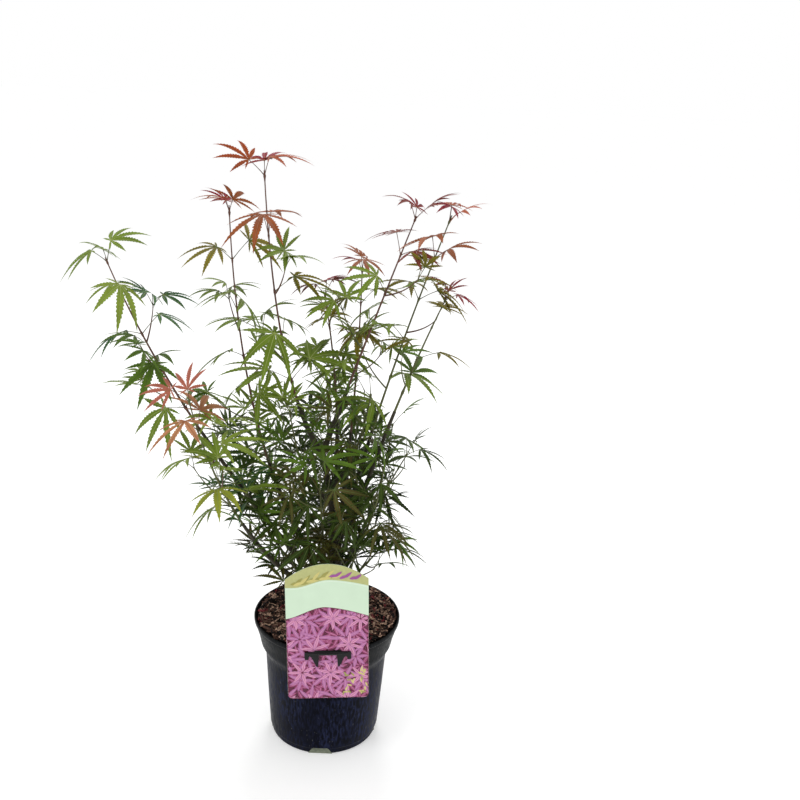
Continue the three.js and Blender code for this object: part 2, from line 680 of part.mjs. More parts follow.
for (const shoot of SHOOTS) {
  const curve = lineOf(shoot);
  const end = shoot.leafFrom ?? 1;
  const foot = shoot.foot ?? LIMB.footRadius;
  const tip = shoot.end ?? LIMB.tipRadius;
  const { sides, steps } = LIMB;
  const bough = clearLimb(rod(curve, 0, end, foot, tip, sides, steps, CLEARANCE / 2));
  const guards = [rod(curve, 0, end, foot + CLEARANCE, tip + CLEARANCE, sides, steps, -CLEARANCE / 2)];
  addMesh(`${shoot.name}_bough`, bough, MATERIALS.bark);
  place(bough);
  if (shoot.leafFrom) {
    const stem = clearLimb(rod(curve, end, 1, tip, TWIG.tipRadius, TWIG.sides, TWIG.steps, CLEARANCE / 2));
    const [thick, thin] = [tip + 2 * CLEARANCE, TWIG.tipRadius + 2 * CLEARANCE];
    guards.push(rod(curve, end, 1, thick, thin, TWIG.sides, TWIG.steps));
    stems.set(shoot, stem);
    place(stem, shoot);
  }
  limbGuards.push(...guards);
}

/** Then the masses: stem, side twigs, and every leaf that has room. */
for (const [shoot, stem] of stems) {
  const random = randomFrom(shoot.seed);
  const curve = lineOf(shoot);
  const others = placed.filter((piece) => piece.owner !== shoot);
  const twigs = [pieceOf(stem)];
  const leaves = leavesAlong(curve, shoot.leafFrom, shoot.pairs, shoot.leaf, shoot.lift, shoot.turn, random);
  for (const sprig of sprigsOf(shoot, curve, random)) {
    const twig = rod(sprig.line, 0, 1, TWIG.sideRadius, TWIG.tipRadius, TWIG.sides, TWIG.steps);
    if (touches(twig, others)) continue;
    twigs.push(pieceOf(twig));
    leaves.push(...sprig.leaves);
  }
  const own = [];
  const ownGuards = [];
  for (const leaf of leaves) {
    const solid = leafSolid(leaf);
    const guard = leafSolid(leaf, LEAF_CLEARANCE);
    const bladeGuard = leafSolid(leaf, LEAF_CLEARANCE, true);
    if (touches(guard, others) || touches(bladeGuard, twigs)) continue;
    if (touches(bladeGuard, own) || touches(solid, ownGuards)) continue;
    own.push(pieceOf(solid));
    ownGuards.push(pieceOf(bladeGuard));
  }
  const fused = [...twigs, ...own].map((piece) => piece.solid).reduce((a, b) => a.add(b));
  const mass = largest(solidOf(geometryOf(largest(fused).simplify(SLIVER))));
  addMesh(`${shoot.name}_leaves`, mass, MATERIALS[shoot.tint]);
  place(mass, shoot);
}

export default plant;
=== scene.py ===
"""Looks of the potted Japanese maple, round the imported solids.

Everything is worked out in millimetres, in the frame of the solids, and scaled to metres at the mesh.
Boughs, twigs and leaves follow the source's rule of growth, with its seeds, and go on to finer sprigs.
"""

import itertools
import math

import bpy
import numpy as np
from mathutils import Matrix, Vector


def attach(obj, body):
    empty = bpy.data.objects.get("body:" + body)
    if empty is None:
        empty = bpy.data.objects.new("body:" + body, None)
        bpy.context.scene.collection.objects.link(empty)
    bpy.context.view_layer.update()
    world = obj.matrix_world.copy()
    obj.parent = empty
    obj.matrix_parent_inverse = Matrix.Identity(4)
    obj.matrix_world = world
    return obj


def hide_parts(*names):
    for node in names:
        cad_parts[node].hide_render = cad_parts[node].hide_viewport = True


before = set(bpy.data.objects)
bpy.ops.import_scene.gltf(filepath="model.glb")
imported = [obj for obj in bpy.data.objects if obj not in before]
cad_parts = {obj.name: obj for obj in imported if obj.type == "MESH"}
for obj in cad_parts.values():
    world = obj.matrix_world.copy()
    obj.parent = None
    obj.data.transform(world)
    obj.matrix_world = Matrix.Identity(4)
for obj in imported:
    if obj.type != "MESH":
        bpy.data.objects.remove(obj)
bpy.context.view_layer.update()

MM = 0.001
UP = np.array([0.0, 0.0, 1.0])
fine = np.random.RandomState(20)  # draws for what only the scene has

# ---- sizes shared with the solids ----

RIM_RADIUS, FOOT_RADIUS, POT_HEIGHT = 95.0, 70.0, 168.0
SOIL_TOP, SOIL_MOUND, SOIL_ROUGHNESS, SOIL_PLATEAU = 160.0, 3.5, 1.6, 18.0
CLEARANCE = 0.3
SKIRT_RADIUS, SKIRT_TOP = 150.0, 206.0  # no leaf hangs lower than this round the pot
DRAIN = {"count": 4, "below": 31.0, "above": 18.0, "height": 10.0, "depth": 20.0, "skin": 1.5, "turn": -93.0}
LABEL = {
    "width": 100.0, "side": 165.0, "rise": 20.0, "corner": 6.0, "thick": 0.7,
    "middle": (1.5, 185.5), "turn": 2.4,
}
CLIP = {
    "width": 57.0, "bar": 4.4, "drop": 2.6, "depth": 2.6, "tab_height": 10.2, "leg_height": 20.6,
    "slot_width": 36.0, "slot_height": 3.4, "tongue_width": 32.8, "tongue_height": 2.0,
    "hook_radius": 87.9, "hook_thickness": 1.4, "hook_drop": 9.0,
}
TRUNK = {"flare": 15.0, "foot": 8.5, "top": 6.2, "tip": (2.0, 2.0, 226.0)}
LIMB_FOOT, LIMB_TIP, TWIG_SIDE = 3.6, 2.0, 1.6
TIP_AT, TIP_SIZE, TIP_LIFT, TIP_SPREAD, TWIG_SPREAD = 0.985, 0.7, 22.0, 18.0, 40.0
# How far chance changes a leaf: degrees added to its spread, stalk and size as shares, degrees either way
CHANCE = {"spread": 26, "stalk": (0.42, 0.68), "size": (0.96, 1.2), "roll": 45, "tilt": 32, "turn": 16}
LOBES = ((0.0, 1.0), (36.0, 0.92), (74.0, 0.66))  # angle in degrees and share of the blade's length
SAG = 0.26  # how far a lobe's tip hangs below the blade's middle, as a share of the length

# Name; from, through and tip; share where the leaves start; pairs of leaves, sprigs and length of a leaf;
# lift and turn in degrees; seed; tints of the leaves from the foot to the tip
SHOOTS = [
    ("tall_shoot", (-13, -2, 392), (-61, 0, 520), (-87, 0, 733), 0.3, 5, 2, 58, -12, 8, 10206,
     "green leaf leaf olive bronze rust"),
    ("diagonal_shoot", (-12, -3, 392), (36, -11, 540), (88, -10, 690), 0.3, 5, 2, 48, 0, 26, 31611,
     "green leaf leaf olive plum plum"),
    ("slim_shoot", (-2, 3, 212), (-92, 25, 409), (-130, 30, 688), 0.42, 6, 3, 52, -12, 49, 32967,
     "dark green leaf leaf olive bronze"),
    ("left_shoot", (0, 0, 200), (-164, 10, 414), (-271, 10, 624), 0.5, 5, 3, 52, -24, 10, 58003,
     "leaf leaf green teal pale leaf"),
    ("right_shoot", (4, 0, 218), (53, 8, 436), (131, 10, 690), 0.46, 6, 2, 52, -12, 37, 37349,
     "green leaf leaf olive bronze rust"),
    ("right_fork_shoot", (5, -3, 212), (66, -16, 430), (128, -18, 598), 0.56, 4, 2, 46, 0, 88, 67330,
     "green olive leaf crimson"),
    ("small_shoot", (2, 4, 300), (4, 44, 430), (-16, 60, 582), 0.5, 4, 2, 44, -12, 73, 35006,
     "green leaf olive plum"),
    ("inner_right_shoot", (4, 6, 216), (24, 54, 415), (30, 70, 614), 0.46, 5, 3, 46, -24, 86, 60562,
     "green leaf leaf olive bronze"),
    ("young_shoot", (0, -5, 190), (-100, -68, 318), (-163, -90, 488), 0.52, 5, 3, 52, -6, 4, 130635,
     "green leaf lime pale salmon pink"),
    ("left_spray", (-1, -3, 186), (-56, -28, 266), (-104, -36, 352), 0.42, 5, 3, 50, 16, 3, 77059,
     "umber dark green teal"),
    ("left_low_spray", (-1, -5, 176), (-26, -44, 228), (-48, -66, 282), 0.42, 4, 3, 48, 16, 89, 82415,
     "dark umber green"),
    ("front_spray", (1, -6, 204), (-8, -48, 296), (-14, -72, 392), 0.42, 5, 4, 50, -20, 38, 71781,
     "deep dark umber green"),
    ("front_low_spray", (3, -6, 182), (20, -46, 234), (30, -74, 286), 0.42, 4, 3, 48, 16, 79, 66117,
     "deep umber dark"),
    ("right_front_spray", (4, -5, 210), (44, -42, 306), (62, -56, 396), 0.42, 5, 3, 48, -8, 1, 79288,
     "dark umber dark green"),
    ("right_spray", (5, 2, 204), (52, 10, 304), (94, 4, 392), 0.42, 5, 3, 48, -20, 4, 88544,
     "dark deep green dark"),
    ("right_low_spray", (5, -2, 190), (38, -16, 236), (68, -22, 278), 0.42, 4, 3, 48, -20, 16, 68860,
     "deep dark green"),
    ("back_left_spray", (-2, 5, 206), (-62, 64, 300), (-104, 104, 404), 0.42, 5, 4, 50, 16, 17, 40296,
     "dark green dark leaf"),
    ("back_spray", (1, 7, 200), (2, 78, 300), (-6, 128, 412), 0.42, 5, 4, 50, 16, 57, 78497,
     "dark deep green"),
    ("back_right_spray", (4, 5, 196), (56, 66, 292), (80, 106, 396), 0.42, 5, 4, 50, 16, 37, 88198,
     "deep dark green"),
    ("back_low_spray", (1, 6, 178), (4, 54, 222), (6, 92, 268), 0.42, 4, 3, 48, 16, 69, 76819,
     "deep dark umber"),
    ("heart_left_spray", (2, 0, 326), (-32, -16, 372), (-52, -26, 452), 0.42, 4, 3, 46, 16, 45, 83775,
     "dark green leaf"),
    ("heart_right_spray", (0, 0, 346), (28, -14, 400), (44, -22, 478), 0.42, 4, 3, 46, -20, 40, 46601,
     "umber green leaf"),
]
LEADER = ((2, 2, 222), (2, 0, 310), (-13, -2, 394))  # from, through and tip

# ---- colours ----


def srgb(*channels):
    """A screen colour, 0 to 255, as linear RGBA."""
    shares = [c / 255 for c in channels]
    return (*(((c + 0.055) / 1.055) ** 2.4 if c > 0.04 else c / 12.92 for c in shares), 1.0)


# Screen colours of the tints, by record slot. The deep and dark tints, given to the low and inner sprays,
# are partly the leaves' own darker green and partly painted shade under the crown.
TINTS = {
    "leaves_dark": {"deep": (26, 38, 14), "dark": (53, 71, 20), "umber": (76, 70, 29)},
    "leaves_green": {"green": (81, 109, 30), "teal": (46, 92, 50), "leaf": (104, 126, 37)},
    "leaves_lime": {"pale": (127, 147, 54), "lime": (140, 148, 46)},
    "leaves_bronze": {"olive": (124, 112, 36), "bronze": (146, 78, 36), "rust": (164, 74, 36)},
    "leaves_red": {
        "plum": (116, 52, 48), "crimson": (134, 18, 42), "salmon": (172, 120, 82), "pink": (172, 100, 84),
    },
}


def wire(tree, node, inputs):
    """Sets each named input of a node to a value or to another node's output."""
    for key, value in inputs.items():
        if isinstance(value, bpy.types.NodeSocket):
            tree.links.new(value, node.inputs[key])
        else:
            node.inputs[key].default_value = value
    return node


def add_node(tree, kind, inputs, output):
    """One output of a new shader node."""
    return wire(tree, tree.nodes.new(f"ShaderNode{kind}"), inputs).outputs[output]


def add_bump(tree, strength, distance, height):
    normal = add_node(tree, "Bump", {"Strength": strength, "Distance": distance, "Height": height}, "Normal")
    wire(tree, tree.nodes["Principled BSDF"], {"Normal": normal})


def material(
    name, colour, rough, specular=0.5, vary=0.18, scale=60.0, stretch=(1, 1, 1), bump=0.0, bump_scale=400.0
):
    """A Principled material: its colour, in screen values, wanders a little, and relief is optional."""
    colour = srgb(*colour)
    look = bpy.data.materials.new(name)
    look.use_nodes = True
    tree = look.node_tree
    shader = tree.nodes["Principled BSDF"]
    wire(tree, shader, {"Roughness": rough, "Specular IOR Level": specular, "Base Color": colour})
    coords = add_node(tree, "TexCoord", {}, "Object")
    place = add_node(tree, "Mapping", {"Vector": coords, "Scale": stretch}, "Vector")
    if vary:
        noise = add_node(tree, "TexNoise", {"Vector": place, "Scale": scale, "Detail": 4.0}, "Fac")
        ramp = wire(tree, tree.nodes.new("ShaderNodeValToRGB"), {"Fac": noise})
        for element, position, factor in zip(ramp.color_ramp.elements, (0.3, 0.7), (1 - vary, 1 + vary)):
            element.position = position
            element.color = tuple(min(1.0, c * factor) for c in colour[:3]) + (1.0,)
        wire(tree, shader, {"Base Color": ramp.outputs["Color"]})
    if bump:
        relief = add_node(tree, "TexNoise", {"Vector": place, "Scale": bump_scale, "Detail": 3.0}, "Fac")
        add_bump(tree, bump, 0.0006, relief)
    return look


SKY_TINT_FULL_BELOW, SKY_TINT_GONE_ABOVE = 0.09, 0.14  # metres; between them the wall's painted bluish sky reflection fades into the plain collar
MIX_A, MIX_B, MIX_RESULT = 6, 7, 2  # the colour sockets of a Mix node


def pot_material():
    """Black moulded plastic: upright streaks on the wall under a painted bluish sky reflection, a plainer
    neutral collar, and specks of dust.
    """
    look = material("pot_plastic", (20, 22, 34), 0.42, 0.05, 0.0)
    tree = look.node_tree
    coords = tree.nodes["Texture Coordinate"].outputs["Object"]

    def noise(stretch, scale, detail, low, high):
        """A noise whose values from low to high are spread over 0 to 1."""
        place = add_node(tree, "Mapping", {"Vector": coords, "Scale": stretch}, "Vector")
        value = add_node(tree, "TexNoise", {"Vector": place, "Scale": scale, "Detail": detail}, "Fac")
        return add_node(tree, "MapRange", {"Value": value, "From Min": low, "From Max": high}, "Result")

    def blend(factor, a, b):
        """A mix of two colours, each given as a value or as a socket."""
        node = tree.nodes.new("ShaderNodeMix")
        node.data_type = "RGBA"
        return wire(tree, node, {"Factor": factor, MIX_A: a, MIX_B: b}).outputs[MIX_RESULT]

    streaks = noise((1, 1, 0.24), 420.0, 3.0, 0.42, 0.64)
    clouds = noise((1, 1, 0.5), 22.0, 4.0, 0.3, 0.7)
    specks = noise((1, 1, 0.35), 620.0, 2.0, 0.69, 0.74)
    height = add_node(tree, "SeparateXYZ", {"Vector": coords}, "Z")
    span = {"Value": height, "From Min": SKY_TINT_FULL_BELOW, "From Max": SKY_TINT_GONE_ABOVE}
    collar = add_node(tree, "MapRange", span, "Result")
    # The wall's streaks: their bluish cast is a painted reflection of the sky, which fades out up the
    # collar.
    wall = blend(streaks, srgb(2, 3, 13), srgb(36, 42, 70))
    clouded_sky_tint = blend(clouds, srgb(5, 7, 21), wall)
    smooth = blend(streaks, srgb(10, 11, 13), srgb(29, 31, 33))
    dust_and_sky_tint = blend(specks, blend(collar, clouded_sky_tint, smooth), srgb(74, 74, 76))
    rough = add_node(tree, "MapRange", {"Value": streaks, "To Min": 0.34, "To Max": 0.56}, "Result")
    wire(tree, tree.nodes["Principled BSDF"], {"Base Color": dust_and_sky_tint, "Roughness": rough})
    add_bump(tree, 0.25, 0.0004, streaks)
    return look


# ---- meshes ----


# Triangles of a box whose corners are listed with z changing fastest and x slowest
BOX_FACES = [
    (0, 1, 3), (0, 3, 2), (4, 6, 7), (4, 7, 5), (0, 4, 5), (0, 5, 1),
    (2, 3, 7), (2, 7, 6), (0, 2, 6), (0, 6, 4), (1, 5, 7), (1, 7, 3),
]


class Heap:
    """Triangles gathered for one joined mesh, and the nodes that it stands for."""

    def __init__(self):
        self.points, self.faces, self.count, self.nodes = [], [], 0, set()

    def add(self, points, faces, node=None):
        self.points.append(np.asarray(points, float))
        self.faces.append(np.asarray(faces, int) + self.count)
        self.count += len(points)
        if node:
            self.nodes.add(node)


def add_object(name, data):
    obj = bpy.data.objects.new(name, data)
    bpy.context.scene.collection.objects.link(obj)
    return obj


def build(name, heap, mat, smooth=True):
    """Makes the heap one object that rides on the part's only body and replaces the heap's nodes."""
    points = np.concatenate(heap.points) * MM
    faces = np.concatenate(heap.faces)
    mesh = bpy.data.meshes.new(name)
    mesh.vertices.add(len(points))
    mesh.vertices.foreach_set("co", points.astype(np.float32).ravel())
    mesh.loops.add(faces.size)
    mesh.loops.foreach_set("vertex_index", faces.astype(np.int32).ravel())
    mesh.polygons.add(len(faces))
    mesh.polygons.foreach_set("loop_start", np.arange(0, faces.size, 3, dtype=np.int32))
    mesh.update(calc_edges=True)
    mesh.polygons.foreach_set("use_smooth", np.full(len(faces), smooth))
    mesh.validate()
    dress(add_object(name, mesh), mat, heap.nodes)


def dress(obj, mat, replaced=()):
    """Gives the object its material, body and the nodes that it replaces."""
    obj.data.materials.clear()
    obj.data.materials.append(mat)
    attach(obj, "root")
    if replaced:
        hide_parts(*sorted(replaced))


def unit(v):
    return v / np.linalg.norm(v)


def mix(a, b, t):
    return a + (b - a) * t


def ring_angles(sides):
    return np.linspace(0, 2 * math.pi, sides, endpoint=False)


def grid_faces(rows, columns, closed=False):
    """Triangles of a grid of points, its columns closed into a ring or not."""
    i, j = np.meshgrid(np.arange(rows - 1), np.arange(columns if closed else columns - 1), indexing="ij")
    a = (i * columns + j).ravel()
    b = (i * columns + (j + 1) % columns).ravel()
    return np.concatenate([np.stack([a, b, b + columns], 1), np.stack([a, b + columns, a + columns], 1)])


def capped_faces(rows, sides):
    """Triangles of closed rings in a row, with fans to one more point at each end."""
    start, first, last = (rows - 1) * sides, rows * sides, rows * sides + 1
    fans = [(first, (j + 1) % sides, j) for j in range(sides)]
    fans += [(last, start + j, start + (j + 1) % sides) for j in range(sides)]
    return np.concatenate([grid_faces(rows, sides, True), np.array(fans)])


def tube(heap, path, radii, sides, node=None, relief=None):
    """A closed tube along a path; relief scales each ring's radius point by point."""
    path = np.asarray(path, float)
    radii = np.broadcast_to(np.asarray(radii, float), (len(path),))
    tangents = np.gradient(path, axis=0)
    tangents /= np.linalg.norm(tangents, axis=1)[:, None]
    across = unit(np.cross(tangents[0], [0.3, 0.9, 0.1]))
    turns = ring_angles(sides)
    rings = []
    for k, (point, tangent) in enumerate(zip(path, tangents)):
        across = unit(across - tangent * across.dot(tangent))
        other = np.cross(tangent, across)
        r = radii[k] * (relief[k] if relief is not None else 1.0) * np.ones(sides)
        rings.append(point + np.outer(r * np.cos(turns), across) + np.outer(r * np.sin(turns), other))
    heap.add(np.concatenate(rings + [path[:1], path[-1:]]), capped_faces(len(path), sides), node)


# ---- pot ----

# Radius and height along the pot's wall: outside upwards from the foot, inside downwards to the floor
POT_OUTSIDE = [
    (67.9, 0), (69.2, 0.5), (69.8, 1.8), (70.0, 6.8), (70.7, 7.9), (71.6, 8.6), (72.0, 10), (73.9, 36),
    (76.2, 68), (78.5, 105), (79.2, 115), (80.0, 119), (81.8, 123.4), (84.0, 127.6), (85.6, 131),
    (86.4, 134.4), (87.3, 139), (89.0, 146), (91.2, 153), (92.6, 158.8), (92.9, 160.6), (93.9, 161.3),
    (94.6, 162.3), (94.9, 164), (95.0, 166.6), (94.5, 167.8), (93.7, 168),
]
POT_INSIDE = [
    (92.9, 167.6), (92.2, 166), (91.2, 160), (84.9, 134), (84.0, 131), (78.4, 118), (77.2, 112), (70.4, 11),
    (68.8, 4.2), (66.8, 2.4),
]
POT_FLOOR, POT_SIDES = 2.4, 128


def lathe(profile, sides):
    """A closed surface of revolution; the profile starts and ends on the axis."""
    turns = ring_angles(sides)
    circle = np.stack([np.cos(turns), np.sin(turns), np.zeros(sides)], 1)
    rings = [r * circle + UP * z for r, z in profile[1:-1]]
    bottom, top = [(0, 0, profile[0][1])], [(0, 0, profile[-1][1])]
    return np.concatenate(rings + [bottom, top]), capped_faces(len(rings), sides)


def plain_object(name, points, faces):
    """An object without a material yet; its faces can have any number of corners."""
    mesh = bpy.data.meshes.new(name)
    corners = [tuple(point) for point in np.asarray(points) * MM]
    mesh.from_pydata(corners, [], [tuple(int(i) for i in face) for face in faces])
    mesh.update()
    return add_object(name, mesh)


def drain_cutter(name, skin, inner, outer, low=-5.0):
    """The trapezium prisms of all drains, as one object; skin makes them that much larger all round."""
    flare = (DRAIN["below"] - DRAIN["above"]) / 2 / DRAIN["height"]
    high = DRAIN["height"] + skin
    below = DRAIN["below"] / 2 + skin - flare * low
    above = DRAIN["above"] / 2 + skin - flare * skin
    points, faces = [], []
    for k in range(DRAIN["count"]):
        turn = math.radians(DRAIN["turn"] + 360 * k / DRAIN["count"])
        out = np.array([math.cos(turn), math.sin(turn), 0])
        side = np.array([-math.sin(turn), math.cos(turn), 0])
        base = len(points)
        for radius in (inner, outer):
            for across, z in ((-below, low), (below, low), (above, high), (-above, high)):
                points.append(out * radius + side * across + UP * z)
        for face in ((0, 3, 2, 1), (4, 5, 6, 7), (0, 1, 5, 4), (1, 2, 6, 5), (2, 3, 7, 6), (3, 0, 4, 7)):
            faces.append([base + i for i in face])
    return plain_object(name, points, faces)


def combine(obj, other, operation):
    """Replaces the object's mesh by its boolean with the other."""
    step = obj.modifiers.new("cut", "BOOLEAN")
    step.operation, step.solver, step.object = operation, "EXACT", other
    depsgraph = bpy.context.evaluated_depsgraph_get()
    cut = bpy.data.meshes.new_from_object(obj.evaluated_get(depsgraph))
    obj.modifiers.clear()
    obj.data = cut


def make_pot():
    """The wall with its drains' pockets, and an olive-grey plug in each: painted shade for the shadowed
    floor under the pot.
    """
    inner = FOOT_RADIUS - DRAIN["depth"]
    outside = [(0, 0)] + POT_OUTSIDE
    shell = plain_object("pot_shell", *lathe(outside + POT_INSIDE + [(0, POT_FLOOR)], POT_SIDES))
    solid = plain_object("pot_solid", *lathe(outside + [(0, POT_HEIGHT)], POT_SIDES))
    pockets = drain_cutter("pot_pockets", DRAIN["skin"], inner - DRAIN["skin"], RIM_RADIUS)
    voids = drain_cutter("pot_voids", 0.0, inner, RIM_RADIUS + 5)
    combine(pockets, solid, "INTERSECT")
    combine(shell, pockets, "UNION")
    combine(shell, voids, "DIFFERENCE")
    for scrap in (solid, pockets, voids):
        bpy.data.objects.remove(scrap)
    shell.data.polygons.foreach_set("use_smooth", np.full(len(shell.data.polygons), True))
    shell.data.set_sharp_from_angle(angle=math.radians(38))
    dress(shell, pot_material(), ["pot"])
    # An olive-grey plug just inside each drain: painted shade where the floor under the raised base lies in
    # shadow.
    painted_drain_shade = drain_cutter("drain_shade_plug", -0.05, inner + 1.0, FOOT_RADIUS - 1.4, 0.05)
    dress(painted_drain_shade, material("painted_drain_shade", (116, 122, 106), 0.9, 0.15, 0.2, 300.0, bump=0.5))


make_pot()

# ---- mulch ----


def soil_height(x, y):
    r = np.hypot(x, y)
    edge = np.clip((r - SOIL_PLATEAU) / (RIM_RADIUS - SOIL_PLATEAU), 0, 1)
    rough = np.sin(x * 0.19 + 1.3) * np.cos(y * 0.23 - 0.4) + 0.5 * np.sin(x * 0.41 + y * 0.37)
    return SOIL_TOP + SOIL_MOUND * (1 - edge**2) + SOIL_ROUGHNESS * rough * np.minimum(1, 3 * edge)


# How many, how far out they are strewn and may reach, how near the trunk, and how high
CHIPS = {"count": 5600, "strewn": 90, "reach": 91.6, "trunk": 13, "top": 173}
CHIP_HALVES = ((2.6, 8.4), (0.7, 1.7), (0.35, 0.9))  # least and most, for length, width and height
SLIVERS = {"count": 640, "strewn": 87, "reach": 89, "trunk": 14}
# Colour and share of the chips
MULCH = {
    "dark": ((22, 13, 12), 0.42),
    "brown": ((86, 60, 50), 0.3),
    "red": ((118, 48, 52), 0.06),
    "tan": ((184, 150, 130), 0.22),
}


def add_chip(heaps):
    """One block of bark, tipped over; the mix rises towards the rim."""
    name = list(MULCH)[fine.choice(len(MULCH), p=[share for _, share in MULCH.values()])]
    r = CHIPS["strewn"] * math.sqrt(fine.rand())
    a = fine.rand() * 2 * math.pi
    size = np.array([fine.uniform(least, most) for least, most in CHIP_HALVES])
    corners = np.array(list(np.ndindex(2, 2, 2))) * 2.0 - 1.0
    shape = corners * size * fine.uniform(0.6, 1.1, (8, 3))
    yaw, pitch, roll = fine.rand() * 2 * math.pi, fine.normal(0, 0.33), fine.normal(0, 0.5)
    turn = Matrix.Rotation(yaw, 3, "Z") @ Matrix.Rotation(pitch, 3, "Y") @ Matrix.Rotation(roll, 3, "X")
    x, y = r * math.cos(a), r * math.sin(a)
    out = r / CHIPS["strewn"]
    piled = fine.uniform(-0.4, 3.4) + 5.8 * out**3 + 4.5 * fine.rand() ** 3 * out**6
    points = shape @ np.array(turn).T + [x, y, soil_height(x, y) + piled]
    too_far = (np.hypot(points[:, 0], points[:, 1]) > CHIPS["reach"]).any()
    if not too_far and points[:, 2].max() <= CHIPS["top"] and r >= CHIPS["trunk"]:
        heaps[name].add(points, BOX_FACES)


def add_sliver(heaps, name):
    """One bent fibre lying on the chips."""
    r = SLIVERS["strewn"] * math.sqrt(fine.rand())
    a, heading = fine.rand() * 2 * math.pi, fine.rand() * 2 * math.pi
    length, bend = fine.uniform(8, 24), fine.uniform(-0.5, 0.5)
    steps = np.linspace(-0.5, 0.5, 6)
    along, across = length * steps, bend * length * steps**2
    x = r * math.cos(a) + along * math.cos(heading) - across * math.sin(heading)
    y = r * math.sin(a) + along * math.sin(heading) + across * math.cos(heading)
    reach = np.hypot(x, y)
    if reach.max() > SLIVERS["reach"] or reach.min() < SLIVERS["trunk"]:
        return
    lift = 2.6 + 3.6 * (r / CHIPS["strewn"]) ** 3 + fine.uniform(0, 2.0)
    z = soil_height(x, y) + lift + fine.uniform(-1.5, 1.5) * steps
    tube(heaps[name], np.stack([x, y, z], 1), fine.uniform(0.25, 0.5), 3)


def make_mulch():
    """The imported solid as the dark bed, with loose chips and slivers on it."""
    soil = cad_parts["soil"]
    bed = material("mulch_bed", (24, 16, 14), 0.95, 0.2, 0.45, 260.0, bump=0.8, bump_scale=500.0)
    soil.data.materials.clear()
    soil.data.materials.append(bed)
    heaps = {name: Heap() for name in MULCH}
    for _ in range(CHIPS["count"]):
        add_chip(heaps)
    for k in range(SLIVERS["count"]):
        add_sliver(heaps, "tan" if k % 3 else "brown")
    for name, (colour, _share) in MULCH.items():
        look = material(f"mulch_{name}", colour, 0.9, 0.25, 0.4, 300.0, bump=0.6, bump_scale=700.0)
        build(f"mulch_{name}", heaps[name], look, smooth=False)


make_mulch()

# ---- label and clip ----

LABEL_BACK = -(RIM_RADIUS + CLEARANCE)
LABEL_FRONT = LABEL_BACK - LABEL["thick"]
HALF_W, HALF_H = LABEL["width"] / 2, LABEL["side"] / 2
CLIP_Z = POT_HEIGHT + CLEARANCE + CLIP["slot_height"] / 2 - LABEL["middle"][1]
PRINT_MARGIN = 0.1
INKS = {
    "field": (104, 28, 60), "shade": (72, 16, 40), "rose": (156, 70, 114), "orchid": (178, 110, 160),
    "blush": (216, 148, 184), "band": (184, 186, 124), "moss": (160, 156, 84), "straw": (206, 196, 122),
    "mauve": (156, 84, 150), "line": (226, 240, 222),
}
# Ink of the blossoms and of their petals' veins, spacing, radius, petals, width of a petal
BLOSSOMS = (
    ("shade", "rose", 17, 15.0, 9, 2.6), ("rose", "blush", 22, 19.0, 8, 3.8),
    ("orchid", "blush", 28, 23.0, 7, 4.6), ("blush", "rose", 37, 20.0, 7, 3.8),
)
# Ink, number, from, to and length of the plain leaves along the top band
BAND_LEAVES = (("moss", 9, -46, 0, 14), ("straw", 7, -44, 10, 15), ("mauve", 6, 0, 36, 12))
FLECKS = 26  # small petals in straw and moss near the lower right corner
FIELD_CORNER, FIELD_SPAN = (-52, -84), (110, 136)  # where the blossoms start, and how far they go
RULE_LOW, RULE_HIGH = 2.2, 1.6  # the light line's two sides, below the band's edge
LAYER, UNDERPRINT = 0.0002, 0.02  # from one petal to the next, and from the card to the fields below them


def on_label(points):
    """Points drawn round the label's middle, x right, y depth and z up, placed on the pot and turned."""
    points = np.asarray(points, float)
    a = math.radians(LABEL["turn"])
    x = points[:, 0] * math.cos(a) - points[:, 2] * math.sin(a)
    z = points[:, 0] * math.sin(a) + points[:, 2] * math.cos(a)
    return np.stack([x + LABEL["middle"][0], points[:, 1], z + LABEL["middle"][1]], 1)


def filled_plate(name, outline, back, thick, bevel, holes=()):
    """The plate as an object; its two faces are filled by a curve's own fill so that any outline works."""
    curve = bpy.data.curves.new(name, "CURVE")
    curve.dimensions = "2D"
    curve.fill_mode = "BOTH"
    curve.extrude = (thick / 2 - bevel) * MM
    curve.bevel_depth = bevel * MM
    curve.bevel_resolution = 2
    curve.offset = -bevel * MM
    for loop in (outline, *holes):
        spline = curve.splines.new("POLY")
        spline.points.add(len(loop) - 1)
        for point, (x, z) in zip(spline.points, loop):
            point.co = (x * MM, z * MM, 0, 1)
        spline.use_cyclic_u = True
    flat = add_object(name + "_curve", curve)
    depsgraph = bpy.context.evaluated_depsgraph_get()
    mesh = bpy.data.meshes.new_from_object(flat.evaluated_get(depsgraph))
    bpy.data.objects.remove(flat)
    co = np.zeros(len(mesh.vertices) * 3)
    mesh.vertices.foreach_get("co", co)
    co = co.reshape(-1, 3) / MM
    placed = on_label(np.stack([co[:, 0], back - thick / 2 - co[:, 2], co[:, 1]], 1)) * MM
    mesh.vertices.foreach_set("co", placed.ravel())
    mesh.update()
    return add_object(name, mesh)


def label_top(x):
    return HALF_H + LABEL["rise"] * (1 - (x / HALF_W) ** 2)


def label_bottom(x):
    r = LABEL["corner"]
    over = np.clip(np.abs(x) - (HALF_W - r), 0, r)
    return -HALF_H + r - np.sqrt(np.maximum(r * r - over * over, 0))


def ramp(u):
    """A soft step from 0 to 1."""
    u = np.clip(u, 0, 1)
    return u * u * (3 - 2 * u)


def swell(x, left, peak, right, foot, crest, fall):
    """A printed edge over x: it climbs from left at foot to peak at crest, and falls to right."""
    up = mix(left, peak, ramp((x - foot) / (crest - foot)))
    down = mix(peak, right, np.clip((x - crest) / (HALF_W - crest), 0, 1) ** fall)
    return np.where(x < crest, up, down)


